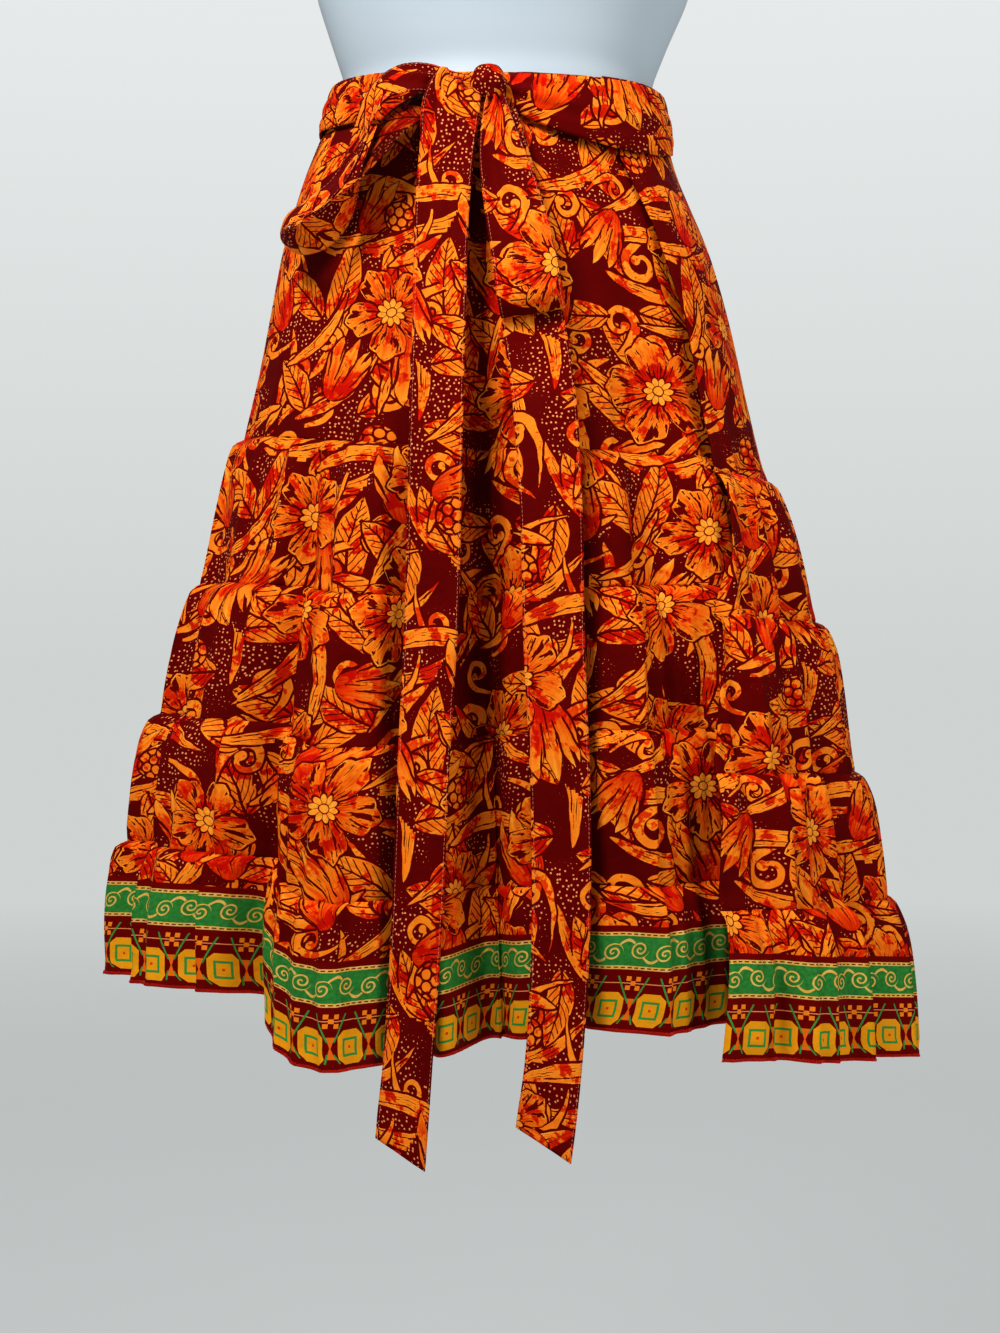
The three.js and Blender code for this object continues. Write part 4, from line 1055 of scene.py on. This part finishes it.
def ribbonGrid(name):
    # a ribbon of cloth laid through its table's rows, with long soft creases and pleats near the knot
    rows, look, c = ribbons[name], ribbonLooks[name], creaseShape
    seed, deep = look["seed"], look["creases"]
    steps = int(throughRows(rows, np.array([0.0]))[1] / bowSizes["spacing"])
    share = np.linspace(0, 1, steps)
    curve, length = throughRows(rows, share)
    centre, width, roll = curve[:, :3], curve[:, 3], np.radians(curve[:, 4])
    ahead = np.gradient(centre, axis=0)
    ahead /= np.linalg.norm(ahead, axis=1, keepdims=True)
    front = np.array((0.0, -1.0, 0.0))
    across = np.cross(ahead, front)
    across /= np.linalg.norm(across, axis=1, keepdims=True)
    wide = across * np.cos(roll)[:, None] + front * np.sin(roll)[:, None]
    wide /= np.linalg.norm(wide, axis=1, keepdims=True)
    facing = np.cross(wide, ahead)
    count = max(10, int(width.max() / bowSizes["spacing"]))
    over = np.linspace(-0.5, 0.5, count)[None, :]
    along = (share * length)[:, None]
    crease = deep * np.cos(over * math.pi) * ripple(along + over * c["lean"], c["long"], seed)
    wider = deep * c["wideShare"] * np.cos(over * 2 * math.pi + c["wideAt"])
    crease = crease + wider * ripple(along, c["wide"], seed + 1)
    finer = ripple(along * c["fineAlong"] + over * c["fineAcross"], c["fine"], seed + 2)
    crease = crease + deep * c["fineShare"] * finer
    pleats = np.cos(over * 2 * c["pleatCount"] * math.pi + c["pleatAt"])
    # the uneven part is read 400 mm along its waves, clear of where they start
    pleats = pleats + c["pleatUneven"] * ripple(over * c["unevenAcross"] + 400, c["unevenOver"], seed + 3)
    crease = crease + look["pleats"] * pleats * np.exp(-along / c["pleatFade"])
    points = centre[:, None] - wide[:, None] * over[..., None] * width[:, None, None]
    points = points + facing[:, None] * crease[..., None]
    clothMm = np.stack((np.broadcast_to(over * width.max(), crease.shape),
                        np.broadcast_to(along, crease.shape)), -1)
    return points, clothMm, share


def finishRibbon(name, points, clothMm):
    # the tie's cloth: the shell and its stitched edges
    clothMm = clothMm + np.array(ribbonLooks[name]["offset"])
    piece = clothPiece("cloth_" + name, points, clothMm, bowSizes["wall"], floralCotton)
    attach(piece, "root")
    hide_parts(name)
    facing = gridNormals(points)
    inward = bowSizes["stitchIn"] / bowSizes["spacing"]
    lines = [points[:, 0] * (1 - inward) + points[:, 1] * inward,
             points[:, -1] * (1 - inward) + points[:, -2] * inward]
    sewLines("stitches_" + name, lines, [facing[:, 0], facing[:, -1]], edgeStitch, paleThread)


for name in ("tail_left", "tail_right"):
    points, clothMm, share = ribbonGrid(name)
    slanted = np.linspace(0.5, -0.5, points.shape[1]) * bowSizes["tailSlant"]
    points[..., 2] += smoothStep(share, bowSizes["slantFrom"], 1.0)[:, None] * slanted[None]
    finishRibbon(name, points, clothMm)

# the left loop stands open, so the eye sees into it
points, clothMm, share = ribbonGrid("loop_left")
finishRibbon("loop_left", points, clothMm)

# the right loop hangs: a front limb, a soft fold at the bottom and a back limb that hangs a little lower
front, clothFront, share = ribbonGrid("loop_right")
grown = (bowSizes["loopStart"] + (1 - bowSizes["loopStart"]) * share)[:, None, None]
back = front + np.array((bowSizes["loopAside"], bowSizes["loopFullness"], 0.0)) * grown
back = back - np.array((0.0, 0.0, bowSizes["backHangs"])) * grown ** 2
ahead = front[-1] - front[-3]
ahead /= np.linalg.norm(ahead, axis=-1, keepdims=True)
bend = [(front[-1] + back[-1]) / 2 + (front[-1] - back[-1]) / 2 * math.cos(a)
        + ahead * math.sin(a) * bowSizes["loopFullness"] / 2
        for a in np.linspace(0, math.pi, bowSizes["bendRows"])[1:-1]]
points = np.concatenate((front, np.array(bend), back[::-1]))
walked = np.linalg.norm(np.diff(points[:, points.shape[1] // 2], axis=0), axis=-1)
walked = np.concatenate(([0], np.cumsum(walked)))
clothMm = np.stack((np.broadcast_to(clothFront[0, :, 0], points.shape[:2]),
                    np.broadcast_to(walked[:, None], points.shape[:2])), -1)
finishRibbon("loop_right", points, clothMm)

# the tie that goes round over the waistband
c = tieCreases
turn = np.linspace(tie["from"], tie["to"], tie["columns"])[None, :]
share = np.linspace(0, 1, tie["rows"])[:, None]
fromFlap = (turn - 30) % 360 + 30  # the waist's table starts at 30 degrees
fanned = bump((turn - tie["fanAt"]) / tie["fanHalf"])
fan = tie["fan"] * fanned - tie["pinch"] * np.exp(-(turn - tie["from"]) / tie["pinchOver"])
alongTie = (turn - tie["from"]) * math.pi / 180 * tie["girth"]
uneven = tie["unevenEdge"] * ripple(alongTie, tie["unevenOver"], 9)
down = np.interp(fromFlap, *levelCurves["waist"]) + tie["topEdge"] + (tie["height"] + fan + uneven) * share
crumple = ripple(alongTie + share * c["broadLean"], c["broadOver"], 5) * c["broad"]
crumple = crumple + ripple(alongTie - share * c["fineLean"], c["fineOver"], 6) * c["fine"]
fromKnot = np.minimum(alongTie - alongTie.min(), alongTie.max() - alongTie)
pleats = np.abs(np.sin(math.pi * (share * c["pleatCount"] + c["pleatAt"])))
crumple = crumple + c["pleats"] * pleats * np.exp(-fromKnot / c["pleatReach"])
puckers = 1 + ripple(share * c["puckersAcross"] + fromKnot * c["puckerLean"], c["puckerOver"], 8)
crumple = crumple + c["puckers"] * puckers * np.exp(-fromKnot / c["puckerReach"])
out = (skirtSizes["bandStandOff"] + tie["standOff"] + bowSizes["wall"] + tie["over"]
       + tie["crown"] * np.sin(math.pi * share) + crumple * np.sin(math.pi * share)
       - tie["edgeEase"] * smoothStep(share, tie["easeFrom"], 1.0) + tie["fanLift"] * fanned * share)
points = ovalPoint(np.broadcast_to(turn, down.shape), down, out)
clothMm = np.stack((np.broadcast_to(alongTie, down.shape), down), -1) + np.array(tie["offset"])
tiePiece = clothPiece("cloth_tie_round", points, clothMm, bowSizes["wall"], floralCotton)
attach(tiePiece, "root")
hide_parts("tie_round")

# the knot: the tie wound once round itself, pinched into creases
knotShape = {
    "shift": (7.0, -5.0, 0.5), "fullness": (0.9, 1.25, 0.85), "rows": 34, "columns": 64, "openEnd": 0.12,
    "windsTo": 0.97, "creases": 7, "creaseDeep": 0.05, "creaseLean": 2, "bands": 6, "bandDeep": 0.04,
    "squareness": 0.75, "clothRound": 13, "clothDown": 14, "offset": (156, 62), "wall": 1.0,
}
k = knotShape
knotLow, knotHigh = (np.array(corner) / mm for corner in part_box("knot"))
knotCentre = (knotLow + knotHigh) / 2 + np.array(k["shift"])
knotHalf = (knotHigh - knotLow) / 2 * np.array(k["fullness"])
polar = np.linspace(k["openEnd"], math.pi - k["openEnd"], k["rows"])[:, None]
around = np.linspace(-math.pi, math.pi * k["windsTo"], k["columns"])[None, :]
pinch = (1 + k["creaseDeep"] * np.sin(around * k["creases"] + polar * k["creaseLean"]) * np.sin(polar) ** 2
         - k["bandDeep"] * np.cos(polar * k["bands"]))
squarish = np.abs(np.sin(polar)) ** k["squareness"]
points = np.stack((
    knotCentre[0] + knotHalf[0] * squarish * np.sin(around) * pinch,
    knotCentre[1] + knotHalf[1] * squarish * -np.cos(around) * pinch,
    knotCentre[2] + knotHalf[2] * np.cos(polar) * np.ones_like(around)), -1)
clothMm = np.stack((around * k["clothRound"] * np.ones_like(polar),
                    polar * k["clothDown"] * np.ones_like(around)), -1) + np.array(k["offset"])
knotPiece = clothPiece("cloth_knot", points, clothMm, k["wall"], floralCotton)
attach(knotPiece, "root")
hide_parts("knot")
print("bow made")


# the torso form and its hook
formNames = ("up", "halfWidth", "halfDepth", "shift")
formSections = [dict(zip(formNames, r)) for r in (
    (-228, 153, 112, -4), (-170, 151, 112, -5), (-110, 138, 106, -6), (-50, 121, 95, -6), (-25, 114, 89, -4),
    (0, 111, 85.5, -1), (30, 122, 91, 0), (61, 134, 98, 2), (130, 149, 110, 2), (210, 160, 117, 1),
    (285, 168, 104, 0), (325, 160, 86, 0), (350, 130, 70, 0), (366, 85, 56, 0), (392, 52, 48, 0))]
formShape = {"window": 24, "rows": 150, "columns": 96}
formLook = {"dark": "b3c0c9", "pale": "bfcad1", "cloudScale": 9.0, "roughFrom": 0.5, "roughTo": 0.58}
hookLook = {"dark": "a9abae", "pale": "cfd1d4", "drawScale": 420.0, "roughFrom": 0.22, "roughTo": 0.36}


def formPlastic():
    # vacuum-formed polyethylene: smooth, faintly mottled, with a satin gloss
    material = bpy.data.materials.new("vacuum_formed_plastic")
    material.use_nodes = True
    tree = material.node_tree
    shader = tree.nodes["Principled BSDF"]
    where = put(tree, "ShaderNodeTexCoord")[3]
    look = formLook
    cloud = put(tree, "ShaderNodeTexNoise", where, look["cloudScale"], 2.0, 0.5)[0]
    colour = put(tree, "ShaderNodeMix", cloud, linear(look["dark"]), linear(look["pale"]), data_type="RGBA")
    tree.links.new(colour, shader.inputs["Base Color"])
    roughness = put(tree, "ShaderNodeMapRange", cloud, 0.3, 0.7, look["roughFrom"], look["roughTo"])
    tree.links.new(roughness, shader.inputs["Roughness"])
    return material


def hookSteel():
    # bright zinc-plated wire, drawn lengthwise
    material = bpy.data.materials.new("zinc_plated_steel")
    material.use_nodes = True
    tree = material.node_tree
    shader = tree.nodes["Principled BSDF"]
    where = put(tree, "ShaderNodeTexCoord")[3]
    look = hookLook
    draw = put(tree, "ShaderNodeTexNoise", where, look["drawScale"], 3.0, 0.6)[0]
    colour = put(tree, "ShaderNodeMix", draw, linear(look["dark"]), linear(look["pale"]), data_type="RGBA")
    tree.links.new(colour, shader.inputs["Base Color"])
    roughness = put(tree, "ShaderNodeMapRange", draw, 0.3, 0.7, look["roughFrom"], look["roughTo"])
    tree.links.new(roughness, shader.inputs["Roughness"])
    shader.inputs["Metallic"].default_value = 1.0
    return material


plastic = formPlastic()
curves = {c: smoothRows(formSections, "up", c, formShape["window"]) for c in formNames[1:]}
ups = np.linspace(formSections[0]["up"], formSections[-1]["up"], formShape["rows"])[:, None]
angles = np.linspace(0, 2 * math.pi, formShape["columns"] + 1)[None, :-1]
formPoints = np.stack((
    np.interp(ups, *curves["shift"]) + np.interp(ups, *curves["halfWidth"]) * np.sin(angles),
    -np.interp(ups, *curves["halfDepth"]) * np.cos(angles),
    waistZ + ups * np.ones_like(angles)), -1) * mm
ring = formShape["columns"]
faces = [(i * ring + k, i * ring + (k + 1) % ring, (i + 1) * ring + (k + 1) % ring, (i + 1) * ring + k)
         for i in range(len(ups) - 1) for k in range(ring)]
faces.append(tuple(reversed(range(ring))))
faces.append(tuple((len(ups) - 1) * ring + k for k in range(ring)))
formMesh = bpy.data.meshes.new("form_body")
formMesh.from_pydata(formPoints.reshape(-1, 3).tolist(), [], faces)
formMesh.polygons.foreach_set("use_smooth", [len(f) == 4 for f in faces])
formMesh.update()
formMesh.materials.append(plastic)
formBody = bpy.data.objects.new("form_body", formMesh)
bpy.context.scene.collection.objects.link(formBody)
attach(formBody, "root")
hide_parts("torso_form")
for node, material in (("neck_cap", plastic), ("form_hook", hookSteel())):
    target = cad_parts[node]
    for slot in target.material_slots:
        slot.material = material
print("form made")


# stage
stage = {
    "cameraBack": 1.6, "cameraDown": 0.42, "pictureHigh": 1333.0, "focal": 2200.0,
    "floorBelow": 0.55, "floorReach": 60.0, "horizonFrom": 1.0, "horizonAt": 7.0, "nearFade": 0.5,
    "roomLight": 0.26, "paleFrom": 0.28, "horizon": "c2c6c5", "overhead": "d6d9d9", "skylight": "e2e6ea",
    "paperDark": "c9cccc", "paperPale": "cfd2d2", "paperScale": 3.0, "paperRough": 0.85, "paperSheen": 0.1,
}
horizonGrey = linear(stage["horizon"])
low, high = cadBox
floorZ = low[2] - stage["floorBelow"]
floorMesh = bpy.data.meshes.new("floor")
reach = stage["floorReach"]
floorMesh.from_pydata([(-reach, -reach, floorZ), (reach, -reach, floorZ), (reach, reach, floorZ),
                       (-reach, reach, floorZ)], [], [(0, 1, 2, 3)])
floorMaterial = bpy.data.materials.new("matt_paper")
floorMaterial.use_nodes = True
floorTree = floorMaterial.node_tree
floorShader = floorTree.nodes["Principled BSDF"]
where = put(floorTree, "ShaderNodeTexCoord")[3]
grain = put(floorTree, "ShaderNodeTexNoise", where, stage["paperScale"], 2.0, 0.5)[0]
tint = put(floorTree, "ShaderNodeMix", grain, linear(stage["paperDark"]), linear(stage["paperPale"]),
           data_type="RGBA")
floorTree.links.new(tint, floorShader.inputs["Base Color"])
floorShader.inputs["Roughness"].default_value = stage["paperRough"]
floorShader.inputs["Specular IOR Level"].default_value = stage["paperSheen"]
# far off, the floor takes the room's own colour, so no line shows where it ends
away = put(floorTree, "ShaderNodeVectorMath", where, operation="LENGTH")
fade = put(floorTree, "ShaderNodeMapRange", away, stage["horizonFrom"], stage["horizonAt"],
           stage["nearFade"], 1.0)
glow = put(floorTree, "ShaderNodeEmission", horizonGrey, 1.0)
mixed = put(floorTree, "ShaderNodeMixShader", fade, floorShader.outputs[0], glow)
floorTree.links.new(mixed, floorTree.nodes["Material Output"].inputs[0])
floorMesh.materials.append(floorMaterial)
floor = bpy.data.objects.new("floor", floorMesh)
bpy.context.scene.collection.objects.link(floor)

# the room: paler overhead, and dimmer as a light than it looks
world = bpy.data.worlds.new("studio")
world.use_nodes = True
worldTree = world.node_tree
worldTree.nodes.clear()
upward = put(worldTree, "ShaderNodeSeparateXYZ", put(worldTree, "ShaderNodeTexCoord")[0])[2]
rising = put(worldTree, "ShaderNodeMapRange", upward, 0.0, stage["paleFrom"], 0.0, 1.0)
seen = put(worldTree, "ShaderNodeMix", rising, horizonGrey, linear(stage["overhead"]), data_type="RGBA")
seenBackground = put(worldTree, "ShaderNodeBackground", seen, 1.0)
litBackground = put(worldTree, "ShaderNodeBackground", linear(stage["skylight"]), stage["roomLight"])
direct = put(worldTree, "ShaderNodeLightPath")[0]
both = put(worldTree, "ShaderNodeMixShader", direct, litBackground, seenBackground)
worldTree.links.new(both, worldTree.nodes.new("ShaderNodeOutputWorld").inputs[0])
bpy.context.scene.world = world

lightPlan = [
    {"name": "key", "at": (-0.62, -1.08, 0.58), "size": 0.5, "power": 28, "aim": (0, 0, -0.5)},
    {"name": "fill", "at": (1.6, -1.2, 0.1), "size": 1.0, "power": 15, "aim": (0, 0, -0.8)},
    {"name": "rim", "at": (0.3, 1.9, 1.1), "size": 1.6, "power": 26, "aim": (0, 0, -0.7)},
]
for plan in lightPlan:
    data = bpy.data.lights.new(plan["name"], "AREA")
    data.size = plan["size"]
    data.energy = plan["power"]
    light = bpy.data.objects.new(plan["name"], data)
    light.location = plan["at"]
    light.rotation_euler = (Vector(plan["aim"]) - Vector(plan["at"])).to_track_quat("-Z", "Y").to_euler()
    bpy.context.scene.collection.objects.link(light)

cameraData = bpy.data.cameras.new("camera")
cameraData.sensor_fit = "VERTICAL"
cameraData.angle = 2 * math.atan(stage["pictureHigh"] / 2 / stage["focal"])
camera = bpy.data.objects.new("camera", cameraData)
camera.location = (0, -stage["cameraBack"], waistZ * mm - stage["cameraDown"])
camera.rotation_euler = (math.pi / 2, 0, 0)
bpy.context.scene.collection.objects.link(camera)
bpy.context.scene.camera = camera
bpy.context.scene.view_settings.view_transform = "Standard"
bpy.context.scene.view_settings.look = "Medium High Contrast"
